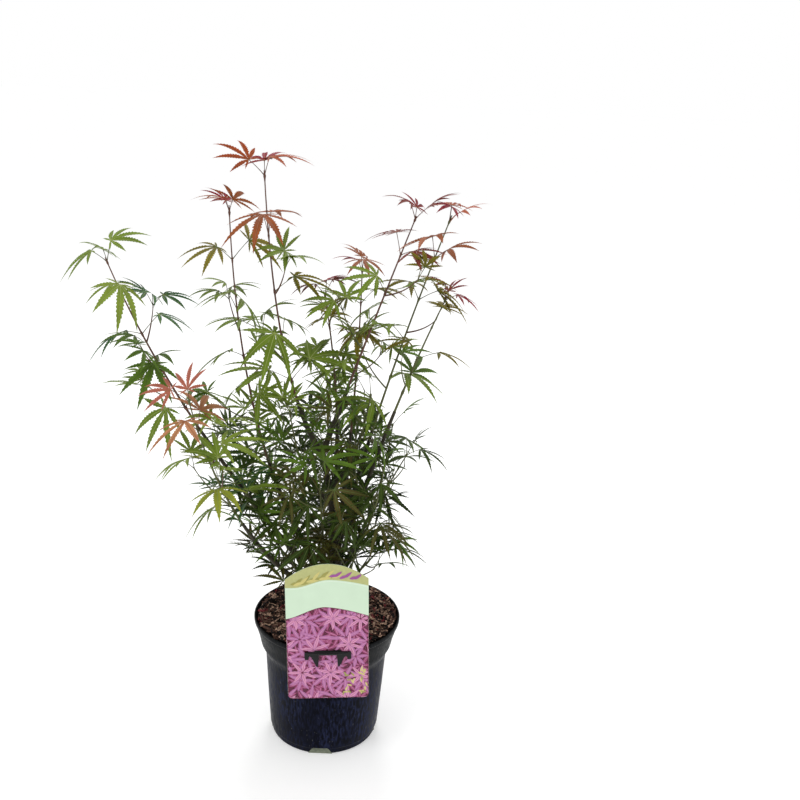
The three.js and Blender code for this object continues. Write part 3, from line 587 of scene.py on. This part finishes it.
def band_edge(x):
    return swell(x, left=71.5, peak=81.4, right=72.9, foot=-40.0, crest=2.4, fall=1.6)


def field_edge(x):
    return swell(x, left=29.3, peak=44.9, right=32.2, foot=-54.0, crest=-3.0, fall=1.5)


def strip(heap, x, low, high, depth):
    """A thin printed area between two lines over x, lying on the label's face."""
    points = np.concatenate([np.stack([x, np.full(len(x), depth), z], 1) for z in (low, high)])
    heap.add(on_label(points), grid_faces(2, len(x)))


def petal(heap, x, z, length, width, heading, depth, inside):
    """A plain pointed oval, printed flat; only the stretch of it that lies inside shows."""
    s = np.linspace(0, 1, 15)
    half = width / 2 * np.sin(math.pi * s**0.8) ** 0.9
    along = np.array([math.cos(heading), math.sin(heading)])
    side = np.array([-along[1], along[0]])
    middle = np.array([x, z]) + np.outer(s * length, along)
    edges = [middle + np.outer(sign * half, side) for sign in (-1, 1)]
    held = np.all([inside(edge[:, 0], edge[:, 1]) for edge in edges], axis=0)
    first, last = held.argmax(), len(s) - held[::-1].argmax()
    if held[first:last].all() and last - first > 2:
        flat = np.concatenate([edge[first:last] for edge in edges])
        printed = np.stack([flat[:, 0], np.full(len(flat), depth), flat[:, 1]], 1)
        heap.add(on_label(printed), grid_faces(2, last - first))


def in_field(x, z):
    return (np.abs(x) < HALF_W - PRINT_MARGIN) & (z < field_edge(x)) & (z > label_bottom(x) + PRINT_MARGIN)


def in_band(x, z):
    return (np.abs(x) < HALF_W - PRINT_MARGIN) & (z > band_edge(x)) & (z < label_top(x) - PRINT_MARGIN)


def make_card():
    """The card itself, with the slot that the clip's tongue passes through."""
    top = np.linspace(HALF_W, -HALF_W, 61)
    bottom = np.linspace(-HALF_W, HALF_W, 81)
    outline = list(zip(bottom, label_bottom(bottom))) + list(zip(top, label_top(top)))
    outline = [p for k, p in enumerate(outline) if k == 0 or math.dist(p, outline[k - 1]) > 0.05]
    w, h = CLIP["slot_width"] / 2, CLIP["slot_height"] / 2
    slot = [(-w, CLIP_Z - h), (-w, CLIP_Z + h), (w, CLIP_Z + h), (w, CLIP_Z - h)]
    card = filled_plate("label_card", outline, LABEL_BACK, LABEL["thick"], 0.12, [slot])
    dress(card, material("label_card", (208, 230, 204), 0.4, 0.35, 0.02), ["label"])


def print_label():
    """A bare header, a band with plain leaves, and a field of generic blossoms."""
    heaps = {ink: Heap() for ink in INKS}
    x = np.linspace(-HALF_W + PRINT_MARGIN, HALF_W - PRINT_MARGIN, 80)
    under = LABEL_FRONT - UNDERPRINT
    strip(heaps["field"], x, label_bottom(x) + PRINT_MARGIN, field_edge(x), under)
    strip(heaps["band"], x, band_edge(x), label_top(x) - PRINT_MARGIN, under)
    strip(heaps["line"], x, band_edge(x) - RULE_LOW, band_edge(x) - RULE_HIGH, under)
    depth = LABEL_FRONT - 1.5 * UNDERPRINT
    for ink, vein, spacing, radius, petals, width in BLOSSOMS:
        for column, row in np.ndindex(*(int(span / spacing) + 1 for span in FIELD_SPAN)):
            px = FIELD_CORNER[0] + spacing * (column + 0.5 * (row % 2)) + fine.uniform(-5, 5)
            pz = FIELD_CORNER[1] + spacing * row + fine.uniform(-5, 5)
            turn, grown = fine.uniform(0, 2 * math.pi), radius * fine.uniform(0.75, 1.15)
            for k in range(petals):
                heading = turn + 2 * math.pi * k / petals
                start = (px + 1.2 * math.cos(heading), pz + 1.2 * math.sin(heading))
                length = grown * fine.uniform(0.8, 1.0)
                depth -= LAYER
                petal(heaps[ink], *start, length, width, heading, depth, in_field)
                petal(heaps[vein], *start, length * 0.9, 0.55, heading, depth - LAYER / 2, in_field)
    for k in range(FLECKS):
        depth -= LAYER
        px, pz, heading = fine.uniform(18, 46), fine.uniform(-78, -44), fine.uniform(0, 2 * math.pi)
        petal(heaps["straw" if k % 3 else "moss"], px, pz, 7, 2.2, heading, depth, in_field)
    for ink, count, low_x, high_x, size in BAND_LEAVES:
        for k in range(count):
            depth -= LAYER
            px = mix(low_x, high_x, (k + 0.5) / count)
            heading = 0.3 + 0.5 * (k % 2) + fine.uniform(-0.2, 0.2)
            petal(heaps[ink], px, band_edge(px) + fine.uniform(2.5, 5), size, 3.8, heading, depth, in_band)
    for ink, heap in heaps.items():
        look = material(f"ink_{ink}", INKS[ink], 0.4, 0.35, 0.06, 300.0)
        build(f"label_print_{ink}", heap, look, smooth=False)


def make_clip():
    """A bar with two turned-down ends and two pointed legs, hooked over the rim by a tongue."""
    end, top = CLIP["width"] / 2, CLIP_Z + CLIP["bar"] / 2 - CLIP["drop"]
    low, tab, tip = top - CLIP["bar"], top - CLIP["tab_height"], top - CLIP["leg_height"]
    half = [
        (11.0, low), (12.0, tip + 1.0), (12.8, tip), (14.4, tip + 0.8), (16.5, tip + 5.5),
        (19.4, low - 4.2), (21.0, low - 1.6), (22.4, low - 0.9), (23.4, low - 2.4), (23.8, tab),
        (end - 0.6, tab), (end, tab + 1.4), (end, top - 0.6), (end - 0.7, top),
    ]
    outline = half + [(-x, z) for x, z in reversed(half)]
    front = LABEL_FRONT - CLEARANCE
    black = material("clip_plastic", (5, 6, 9), 0.2, 0.3, 0.15)
    face = filled_plate("label_clip_face", outline, front, CLIP["depth"], 0.4)
    dress(face, black, ["label_clip"])
    rest = Heap()
    ridge, middle = front - CLIP["depth"] - 0.1, (top + low) / 2
    bead = [[-end + 4, ridge, middle + 0.6], [0, ridge - 0.2, middle + 0.2], [end - 4, ridge, middle + 0.6]]
    tube(rest, on_label(bead), 0.6, 8, "label_clip")
    inside, outside = -CLIP["hook_radius"], -CLIP["hook_radius"] + CLIP["hook_thickness"]
    roof = CLIP_Z + CLIP["tongue_height"] / 2
    tongue = (roof - CLIP["tongue_height"], front - CLIP["depth"] / 2)
    hook = (roof - CLIP["hook_drop"], inside)
    for floor_z, y0 in (tongue, hook):
        sides = (-CLIP["tongue_width"] / 2, CLIP["tongue_width"] / 2)
        rest.add(on_label(list(itertools.product(sides, (y0, outside), (floor_z, roof)))), BOX_FACES)
    build("label_clip_tongue", rest, black, smooth=False)


make_card()
print_label()
make_clip()

# ---- the rule of growth, as in the source ----


MODULUS = 2**31 - 1


class Draws:
    """The source's repeatable random numbers."""

    def __init__(self, seed):
        self.state = seed * 7919
        for _ in range(3):
            self()

    def __call__(self):
        self.state = (self.state * 48271) % MODULUS
        return self.state / MODULUS


class Line:
    """A quadratic curve from a to b that passes m half way."""

    def __init__(self, a, m, b):
        self.a, self.b = np.array(a, float), np.array(b, float)
        self.c = 2 * np.array(m, float) - 0.5 * self.a - 0.5 * self.b

    def point(self, t):
        t = np.asarray(t, float)[..., None]
        return (1 - t) ** 2 * self.a + 2 * t * (1 - t) * self.c + t**2 * self.b

    def tangent(self, t):
        return unit(2 * (1 - t) * (self.c - self.a) + 2 * t * (self.b - self.c))


def outward_of(along, degrees):
    """A direction at right angles to a twig, turned about it."""
    reference = np.array([0.0, 1.0, 0.0]) if abs(along[1]) < 0.8 else np.array([1.0, 0.0, 0.0])
    u = unit(np.cross(reference, along))
    angle = math.radians(degrees)
    return u * math.cos(angle) + np.cross(along, u) * math.sin(angle)


def turned_about(v, axis, angle):
    c, s = math.cos(angle), math.sin(angle)
    return v * c + np.cross(axis, v) * s + axis * axis.dot(v) * (1 - c)


def either_way(degrees, draw):
    return mix(-degrees, degrees, draw())


def leaf_at(root, along, outward, length, lift, least_spread, draw):
    """Where a leaf leaves its twig, where its blade starts, and how the blade lies."""
    spread = math.radians(least_spread + CHANCE["spread"] * draw())
    stalk = length * mix(*CHANCE["stalk"], draw())
    roll = math.radians(either_way(CHANCE["roll"], draw))
    tilt = math.radians(lift + either_way(CHANCE["tilt"], draw))
    size = length * mix(*CHANCE["size"], draw())
    direction = unit(along * math.cos(spread) + outward * math.sin(spread))
    level = np.array([direction[0] + 0.6 * outward[0], direction[1] + 0.6 * outward[1], 0.0])
    if np.linalg.norm(level) < 0.05:
        level = np.array([outward[0], outward[1], 0.01])
    axis = unit(unit(level) * math.cos(tilt) + UP * math.sin(tilt))
    if axis.dot(direction) < 0.35:
        axis = unit(axis + 0.5 * direction)
    normal = turned_about(unit(UP - axis * UP.dot(axis)), axis, roll)
    return {"root": root, "base": root + direction * stalk, "axis": axis, "normal": normal, "length": size}


def leaves_along(line, t0, pairs, length, lift, turn, draw):
    """Leaf pairs along one twig, each pair turned a quarter from the last, and one leaf more at its tip."""
    leaves = []
    for k in range(pairs):
        share = (k + 0.6) / (pairs - 0.4)
        last = k == pairs - 1
        t = mix(t0, 1, min(1, share)) - (0.012 if last else 0)
        along = line.tangent(t)
        outward = outward_of(along, turn + 90 * k + either_way(CHANCE["turn"], draw))
        grown = length * (0.8 if last else mix(1.04, 0.94, share))
        for side in (1, -1):
            raised, spread = (lift + TIP_LIFT, TIP_SPREAD) if last else (lift, TWIG_SPREAD)
            leaf = leaf_at(line.point(t), along, side * outward, grown, raised, spread, draw)
            leaves.append({**leaf, "share": min(1, share), "t": t})
    along = line.tangent(0.99)
    outward = outward_of(along, turn + 90 * pairs + either_way(30, draw))
    tip = leaf_at(line.point(TIP_AT), along, outward, length * TIP_SIZE, lift + 2 * TIP_LIFT, 4, draw)
    return leaves + [{**tip, "share": 1.0, "t": TIP_AT}]


def sprig_line(line, t, turn_degrees, reach, draw):
    """The line of a side twig that leaves the shoot at t."""
    along = line.tangent(t)
    outward = outward_of(along, turn_degrees + either_way(20, draw))
    reach = reach * mix(0.85, 1.35, draw())
    start = line.point(t)
    through = start + outward * 0.42 * reach + along * 0.3 * reach
    tip = start + outward * 0.72 * reach + along * 0.55 * reach + UP * 0.12 * reach
    return Line(start, through, tip)


# ---- leaf shapes ----


def lobe_width(s, half_width):
    """Half the width of a lobe at share s of its length: narrow at its foot, with a long pointed tip."""
    return np.minimum(half_width * 3.05 * s**0.85 * (1 - s) ** 1.12, 0.34 * s)


def lobe_shape(heading, reach, half_width, teeth, draw):
    """One toothed lobe: two creased halves that meet at the midrib. Lengths are shares of the blade's."""
    bend = draw.uniform(-0.12, 0.12)
    fold = draw.uniform(0.15, 0.4)
    cuts = np.linspace(0.24, 0.97, teeth + 1)
    mid, edge, factor = [0.02, 0.1, 0.17], [0.02, 0.1, 0.17], [1.0, 1.0, 1.0]
    for a, b in zip(cuts, cuts[1:]):  # a notch, then a tooth that leans towards the lobe's tip
        mid += [a, mix(a, b, 0.55)]
        edge += [a + 0.008, mix(a, b, 0.88)]
        factor += [0.82, draw.uniform(1.12, 1.3)]
    mid, edge, factor = (np.array(shares + [1.0]) for shares in (mid, edge, factor))
    width = lobe_width(edge, half_width) * factor
    turn = math.radians(heading)
    spin = np.array([[math.cos(turn), math.sin(turn), 0], [-math.sin(turn), math.cos(turn), 0], [0, 0, 1]])
    inner = np.stack([mid, bend * mid**2, np.zeros(len(mid))], 1)
    halves = []
    for sign in (-1, 1):
        outer = np.stack([edge, bend * edge**2 + sign * width, fold * width], 1)
        faces = grid_faces(2, len(mid))[:, ::-sign]
        halves.append((np.concatenate([inner, outer]) * reach @ spin, faces))
    s = np.linspace(0, 0.86, 9)
    thick = mix(0.007, 0.003, s)
    ribs = []
    for height in (0.006, -0.004):
        level = np.full(len(s), height)
        edges = [np.stack([s * reach, bend * s**2 * reach + sign * thick, level], 1) for sign in (-1, 1)]
        ribs.append((np.concatenate(edges) @ spin, grid_faces(2, len(s))[:, ::-1]))
    return halves, ribs


def blade_shape(draw, half_width, small_lobes):
    """A whole blade of unit length: points and faces of its lobes, and of its pale ribs."""
    plan = [(heading * sign, reach) for heading, reach in LOBES for sign in ((1, -1) if heading else (1,))]
    if small_lobes:
        plan += [(heading, 0.34) for heading in (112.0, -112.0)]
    blade, rib = Heap(), Heap()
    for heading, reach in plan:
        heading += draw.uniform(-5, 5)
        reach *= draw.uniform(0.92, 1.03)
        teeth = 10 if reach > 0.8 else 7 if reach > 0.5 else 4
        halves, ribs = lobe_shape(heading, reach, half_width, teeth, draw)
        for points, faces in halves:
            blade.add(points, faces)
        for points, faces in ribs:
            rib.add(points, faces)
    return [(np.concatenate(h.points), np.concatenate(h.faces)) for h in (blade, rib)]


BROAD = [blade_shape(fine, fine.uniform(0.088, 0.112), k % 3 != 2) for k in range(10)]
NARROW = [blade_shape(fine, fine.uniform(0.068, 0.088), k % 3 != 2) for k in range(10)]

leaf_heaps = {tint: Heap() for tints in TINTS.values() for tint in tints}
rib_heaps = {"pale": Heap(), "dull": Heap(), "warm": Heap()}
stalk_heaps = {"green": Heap(), "red": Heap()}
twig_heaps = {"green": Heap(), "red": Heap()}
WARM = {"bronze", "rust", "plum", "crimson", "salmon", "pink"}
DULL = {"deep", "dark", "umber", "green", "olive"}
# Gaps in the crown, as seen from the front and a little above: x, height, half width, half height
GAPS = (
    (99, 360, 20, 44), (81, 458, 24, 32), (126, 540, 24, 26), (-206, 385, 32, 18), (-148, 490, 13, 26),
    (73, 226, 36, 14), (-101, 227, 28, 18), (-86, 208, 30, 20), (58, 498, 18, 30), (-103, 594, 15, 16),
    (99, 578, 18, 14), (10, 574, 16, 14),
)
GAP_SLOPE = 0.42
LABEL_VIEW = {"before": 2, "beside": 7, "below": 300}  # no leaf hangs before the label


def has_room(points):
    """Whether a blade keeps out of the gaps, off the pot's rim and away from the label's front."""
    x, y, z = points.mean(0)
    if any(math.hypot((x - u) / wide, (z + GAP_SLOPE * y - v) / high) < 1 for u, v, wide, high in GAPS):
        return False
    x, y, z = points.T
    if ((z < SKIRT_TOP) & (np.hypot(x, y) < SKIRT_RADIUS)).any():
        return False
    beside = np.abs(x - LABEL["middle"][0]) < HALF_W + LABEL_VIEW["beside"]
    return not ((y < LABEL_BACK + LABEL_VIEW["before"]) & beside & (z < LABEL_VIEW["below"])).any()


STALK_RADII = (0.7, 0.5, 0.42, 0.42, 0.55)  # from the twig to the blade


def place_leaf(leaf, tint, node, shapes):
    """Sets one blade and its stalk, if it has room."""
    (blade, blade_faces), (rib, rib_faces) = shapes[fine.randint(len(shapes))]
    sag, curl = SAG * fine.uniform(0.6, 1.25), fine.uniform(-0.16, 0.16)
    side = np.cross(leaf["normal"], leaf["axis"])
    length = leaf["length"]

    def settle(points):
        """The unit blade in its place, curled, and drooping towards its tips."""
        x, y, z = points.T * length
        reach = np.hypot(x, y)
        z = z - sag * reach**2 / length + curl * x * y / length
        world = leaf["base"] + np.outer(x, leaf["axis"]) + np.outer(y, side) + np.outer(z, leaf["normal"])
        world[:, 2] -= 0.14 * reach**3 / length**2
        return world

    points = settle(blade)
    if not has_room(points):
        return False
    leaf_heaps[tint].add(points, blade_faces, node)
    key = "warm" if tint in WARM else "dull" if tint in DULL else "pale"
    rib_heaps[key].add(settle(rib), rib_faces, node)
    s = np.linspace(0, 1, len(STALK_RADII))[:, None]
    stalk = leaf["root"] * (1 - s) + leaf["base"] * s + UP * 3.4 * s * (1 - s)
    tube(stalk_heaps["red" if tint in WARM else "green"], stalk, STALK_RADII, 5, node)
    return True


def twig(line, t0, t1, r0, r1, knots, key, node, sides=7):
    """A tapering twig, swollen where its leaves leave it."""
    count = max(10, int(np.linalg.norm(line.point(t1) - line.point(t0)) / 2.5))
    t = np.linspace(t0, t1, count)
    radii = mix(r0, r1, (t - t0) / (t1 - t0))
    length = np.linalg.norm(line.b - line.a)
    for knot in knots:
        radii = radii * (1 + 0.6 * np.exp(-(((t - knot) * length / 2.0) ** 2)))
    tube(twig_heaps[key], line.point(t), radii, sides, node)


def tint_of(names, share):
    """A tint for a leaf at that share of its shoot."""
    place = share * (len(names) - 1) + fine.uniform(-0.5, 0.5)
    return names[int(np.clip(round(place), 0, len(names) - 1))]


GREEN_STEMS = {"young_shoot", "right_shoot", "right_fork_shoot"}
GOLDEN_ANGLE = 137.5  # degrees round the shoot from one sprig to the next
SHOOT_END, SPRIG_END = 0.7, 0.55  # radii of the tips
# Finer sprigs on a low spray, and on the two fuller ones
FINER, FINER_ON = 2, {"left_spray": 7, "left_low_spray": 5}


def side_twigs(name, line, leaf_from, sprigs, leaf, lift, turn, seed, draw):
    """Sprigs as (line, leaves, place on the shoot): those that the solids have too, then the finer ones."""
    side = []
    for k in range(sprigs):
        t = mix(leaf_from + 0.05, 0.8, (k + 0.5) / sprigs)
        sprig = sprig_line(line, t, turn + GOLDEN_ANGLE * (k + 1), leaf * (1 - 0.25 * (k / sprigs)), draw)
        side.append((sprig, leaves_along(sprig, 0.35, 1, leaf * 0.95, lift, 45 + 70 * k, draw), t))
    extra = Draws(seed + 1)
    finer = FINER_ON.get(name, FINER) if name.endswith("spray") else 0
    for k in range(finer):
        t = mix(0.36, 0.9, (k + extra()) / finer)
        sprig = sprig_line(line, t, turn + 62 + GOLDEN_ANGLE * k, leaf * 0.8, extra)
        side.append((sprig, leaves_along(sprig, 0.45, 1, leaf * 0.75, lift, 20 + 50 * k, extra), t))
    return side


def grow():
    """Every shoot: its stem, the leaves on it, and the side twigs with theirs."""
    for name, start, through, tip, leaf_from, pairs, sprigs, leaf, lift, turn, seed, tints in SHOOTS:
        draw = Draws(seed)
        names = tints.split()
        node = f"{name}_leaves"
        low = name.endswith("spray")
        shapes = NARROW if low else BROAD
        line = Line(start, through, tip)
        leaves = leaves_along(line, leaf_from, pairs, leaf, lift, turn, draw)
        knots = sorted({each["t"] for each in leaves})
        bark = "green" if low or name in GREEN_STEMS else "red"
        twig(line, leaf_from - 0.01, 1.0, LIMB_TIP * 0.8, SHOOT_END, knots, bark, node)
        for k in range(0, len(leaves), 2):
            youngest = k == len(leaves) - 1 and names[-1] in ("bronze", "rust", "plum")
            tint = "crimson" if youngest else tint_of(names, leaves[k]["share"])
            for each in leaves[k : k + 2]:
                place_leaf(each, tint, node, shapes)
        side = side_twigs(name, line, leaf_from, sprigs, leaf, lift, turn, seed, draw)
        for sprig, sprig_leaves, t in side:
            share = max(0.0, (t - leaf_from) / (1 - leaf_from))
            tint = tint_of(names, share)
            if any([place_leaf(each, tint, node, shapes) for each in sprig_leaves]):
                bark = "green" if low or share < 0.3 else "red"
                twig(sprig, 0, 1, TWIG_SIDE * 0.7, SPRIG_END, [0.98], bark, node, 5)


grow()

for slot_name, tints in TINTS.items():
    for tint, colour in tints.items():
        heap = leaf_heaps[tint]
        if heap.count:
            look = material(f"leaf_{tint}", colour, 0.55, 0.14, 0.25, 28.0, bump=0.3, bump_scale=900.0)
            build(f"leaves_{tint}", heap, look)
for key, colour, slot_name in (
    ("pale", (146, 160, 84), "leaves_lime"),
    ("dull", (80, 100, 38), "leaves_green"),
    ("warm", (156, 96, 62), "leaves_bronze"),
):
    look = material(f"rib_{key}", colour, 0.55, 0.3, 0.1)
    build(f"ribs_{key}", rib_heaps[key], look)
for key, colour in (("green", (82, 86, 44)), ("red", (92, 58, 44))):
    look = material(f"stem_{key}", colour, 0.5, 0.4, 0.25)
    build(f"leaf_stalks_{key}", stalk_heaps[key], look)
    build(f"twigs_{key}", twig_heaps[key], look)

# ---- trunk and boughs ----


def bark_relief(rings, sides, depth, seed):
    """Long soft ridges and small pores, as factors on the radius point by point."""
    rng = np.random.RandomState(seed)
    ridges = rng.normal(0, 1, (max(4, rings // 6) + 3, sides))
    rows = np.linspace(0, len(ridges) - 1.001, rings)
    low = rows.astype(int)
    smooth = mix(ridges[low], ridges[low + 1], (rows - low)[:, None])
    pores = (rng.rand(rings, sides) > 0.965) * 1.6
    return 1 + depth * (0.6 * smooth + pores)


TRUNK_SIDES, LIMB_SIDES, LIMB_SEED = 28, 12, 900


def trunk_heap():
    """The trunk from its flared, ribbed foot on the mix up to the first fork."""
    heap = Heap()
    foot, top = SOIL_TOP + SOIL_MOUND + CLEARANCE, TRUNK["tip"][2]
    z = np.concatenate([np.linspace(foot, foot + 18, 14), np.linspace(foot + 20, top, 24)])
    rise = (z - foot) / (top - foot)
    flare = TRUNK["flare"] * np.exp(-(z - foot) / 5.2)
    radius = np.interp(rise, [0, 0.26, 1], [7.6, TRUNK["foot"], TRUNK["top"]])
    turns = ring_angles(TRUNK_SIDES)
    ribs = 0.16 * np.sin(3 * turns + 0.5) + 0.08 * np.sin(5 * turns)
    relief = bark_relief(len(z), TRUNK_SIDES, 0.03, 5) + np.outer(np.exp(-(z - foot) / 7.0), ribs)
    path = np.stack([TRUNK["tip"][0] * rise**2, TRUNK["tip"][1] * rise, z], 1)
    tube(heap, path, radius + np.maximum(flare - 1.2, 0) * 0.5, TRUNK_SIDES, "trunk", relief)
    return heap


def add_limb(heap, node, line, t1, r0, r1, seed):
    """A bare limb up to t1, slightly swollen at six nodes."""
    count = int(np.linalg.norm(line.point(t1) - line.point(0.0)) / 2.2) + 8
    t = np.linspace(0.0, t1, count)
    swellings = np.exp(-(((t[:, None] - np.linspace(0.12, 0.9, 6) * t1) * 60) ** 2)).sum(1)
    radii = mix(r0, r1, t / t1) * (1 + 0.16 * swellings)
    tube(heap, line.point(t), radii, LIMB_SIDES, node, bark_relief(count, LIMB_SIDES, 0.035, seed))


def make_limbs():
    """Trunk, leader and boughs with their bark."""
    boughs = Heap()
    add_limb(boughs, "leader_bough", Line(*LEADER), 1.0, 5.4, 3.4, LIMB_SEED)
    for seed, (name, start, through, tip, leaf_from, *_rest) in enumerate(SHOOTS, LIMB_SEED + 1):
        line = Line(start, through, tip)
        add_limb(boughs, f"{name}_bough", line, leaf_from + 0.005, LIMB_FOOT, LIMB_TIP, seed)
    bark = material("bark", (84, 72, 54), 0.75, 0.3, 0.35, 160.0, (1, 1, 0.3), 0.9, 500.0)
    young = material("young_bark", (54, 49, 34), 0.6, 0.35, 0.35, 120.0, (1, 1, 0.4), 0.6, 500.0)
    build("trunk_bark", trunk_heap(), bark)
    build("bough_bark", boughs, young)


make_limbs()

# ---- floor, light and camera ----

FLOOR_GLOW, SKY_LIGHT = 0.28, 0.8  # the paper's own light, and the white room's on the plant
FLOOR_HALF, FLOOR_LEVEL = 30000, -0.4
FLOOR_GREY = 243.4452  # as a screen colour; 0.9 of the light
WHITE = (1.0, 1.0, 1.0, 1.0)

signs = ((-1, -1), (1, -1), (1, 1), (-1, 1))
corners = [(FLOOR_HALF * x, FLOOR_HALF * y, FLOOR_LEVEL) for x, y in signs]
floor = plain_object("floor", corners, [(0, 1, 2, 3)])
paper = material("floor_paper", (FLOOR_GREY,) * 3, 0.9, 0.1, 0.0)
glow = {"Emission Color": WHITE, "Emission Strength": FLOOR_GLOW}
wire(paper.node_tree, paper.node_tree.nodes["Principled BSDF"], glow)
floor.data.materials.append(paper)

world = bpy.data.worlds.new("studio")
bpy.context.scene.world = world
world.use_nodes = True
sky = world.node_tree
seen = add_node(sky, "LightPath", {}, "Is Camera Ray")
level = add_node(sky, "MapRange", {"Value": seen, "To Min": SKY_LIGHT}, "Result")
wire(sky, sky.nodes["Background"], {"Color": WHITE, "Strength": level})


def area_light(name, place, aim, size, power):
    """A round soft light that looks at a point; metres and watts."""
    lamp = bpy.data.lights.new(name, "AREA")
    lamp.shape, lamp.size, lamp.energy = "DISK", size, power
    obj = add_object(name, lamp)
    obj.location = place
    obj.rotation_mode = "QUATERNION"
    obj.rotation_quaternion = (Vector(aim) - Vector(place)).to_track_quat("-Z", "Y")


area_light("key", (-0.9, -1.2, 2.4), (0, 0, 0.35), 0.8, 11)
area_light("back", (0.1, 1.5, 2.2), (0, 0, 0.1), 0.7, 15)
bpy.context.scene.view_settings.view_transform = "Standard"

# Fitted to the pot's rim, collar and foot in the photo; metres, degrees, millimetres
CAMERA = {"place": (0.0, -1.16484, 0.84365), "angles": (18.01, 3.97, 3.03), "lens": 45.0, "sensor": 36.0}
pitch, yaw, roll = (math.radians(angle) for angle in CAMERA["angles"])
ahead = Vector((math.sin(yaw) * math.cos(pitch), math.cos(yaw) * math.cos(pitch), -math.sin(pitch)))
right = Vector((math.cos(yaw), -math.sin(yaw), 0))
above = right.cross(ahead)
right_rolled = right * math.cos(roll) + above * math.sin(roll)
above_rolled = above * math.cos(roll) - right * math.sin(roll)
camera_data = bpy.data.cameras.new("camera")
camera_data.lens, camera_data.sensor_width = CAMERA["lens"], CAMERA["sensor"]
camera = add_object("camera", camera_data)
turn_matrix = Matrix((right_rolled, above_rolled, -ahead)).transposed()
camera.matrix_world = Matrix.Translation(CAMERA["place"]) @ turn_matrix.to_4x4()
bpy.context.scene.camera = camera
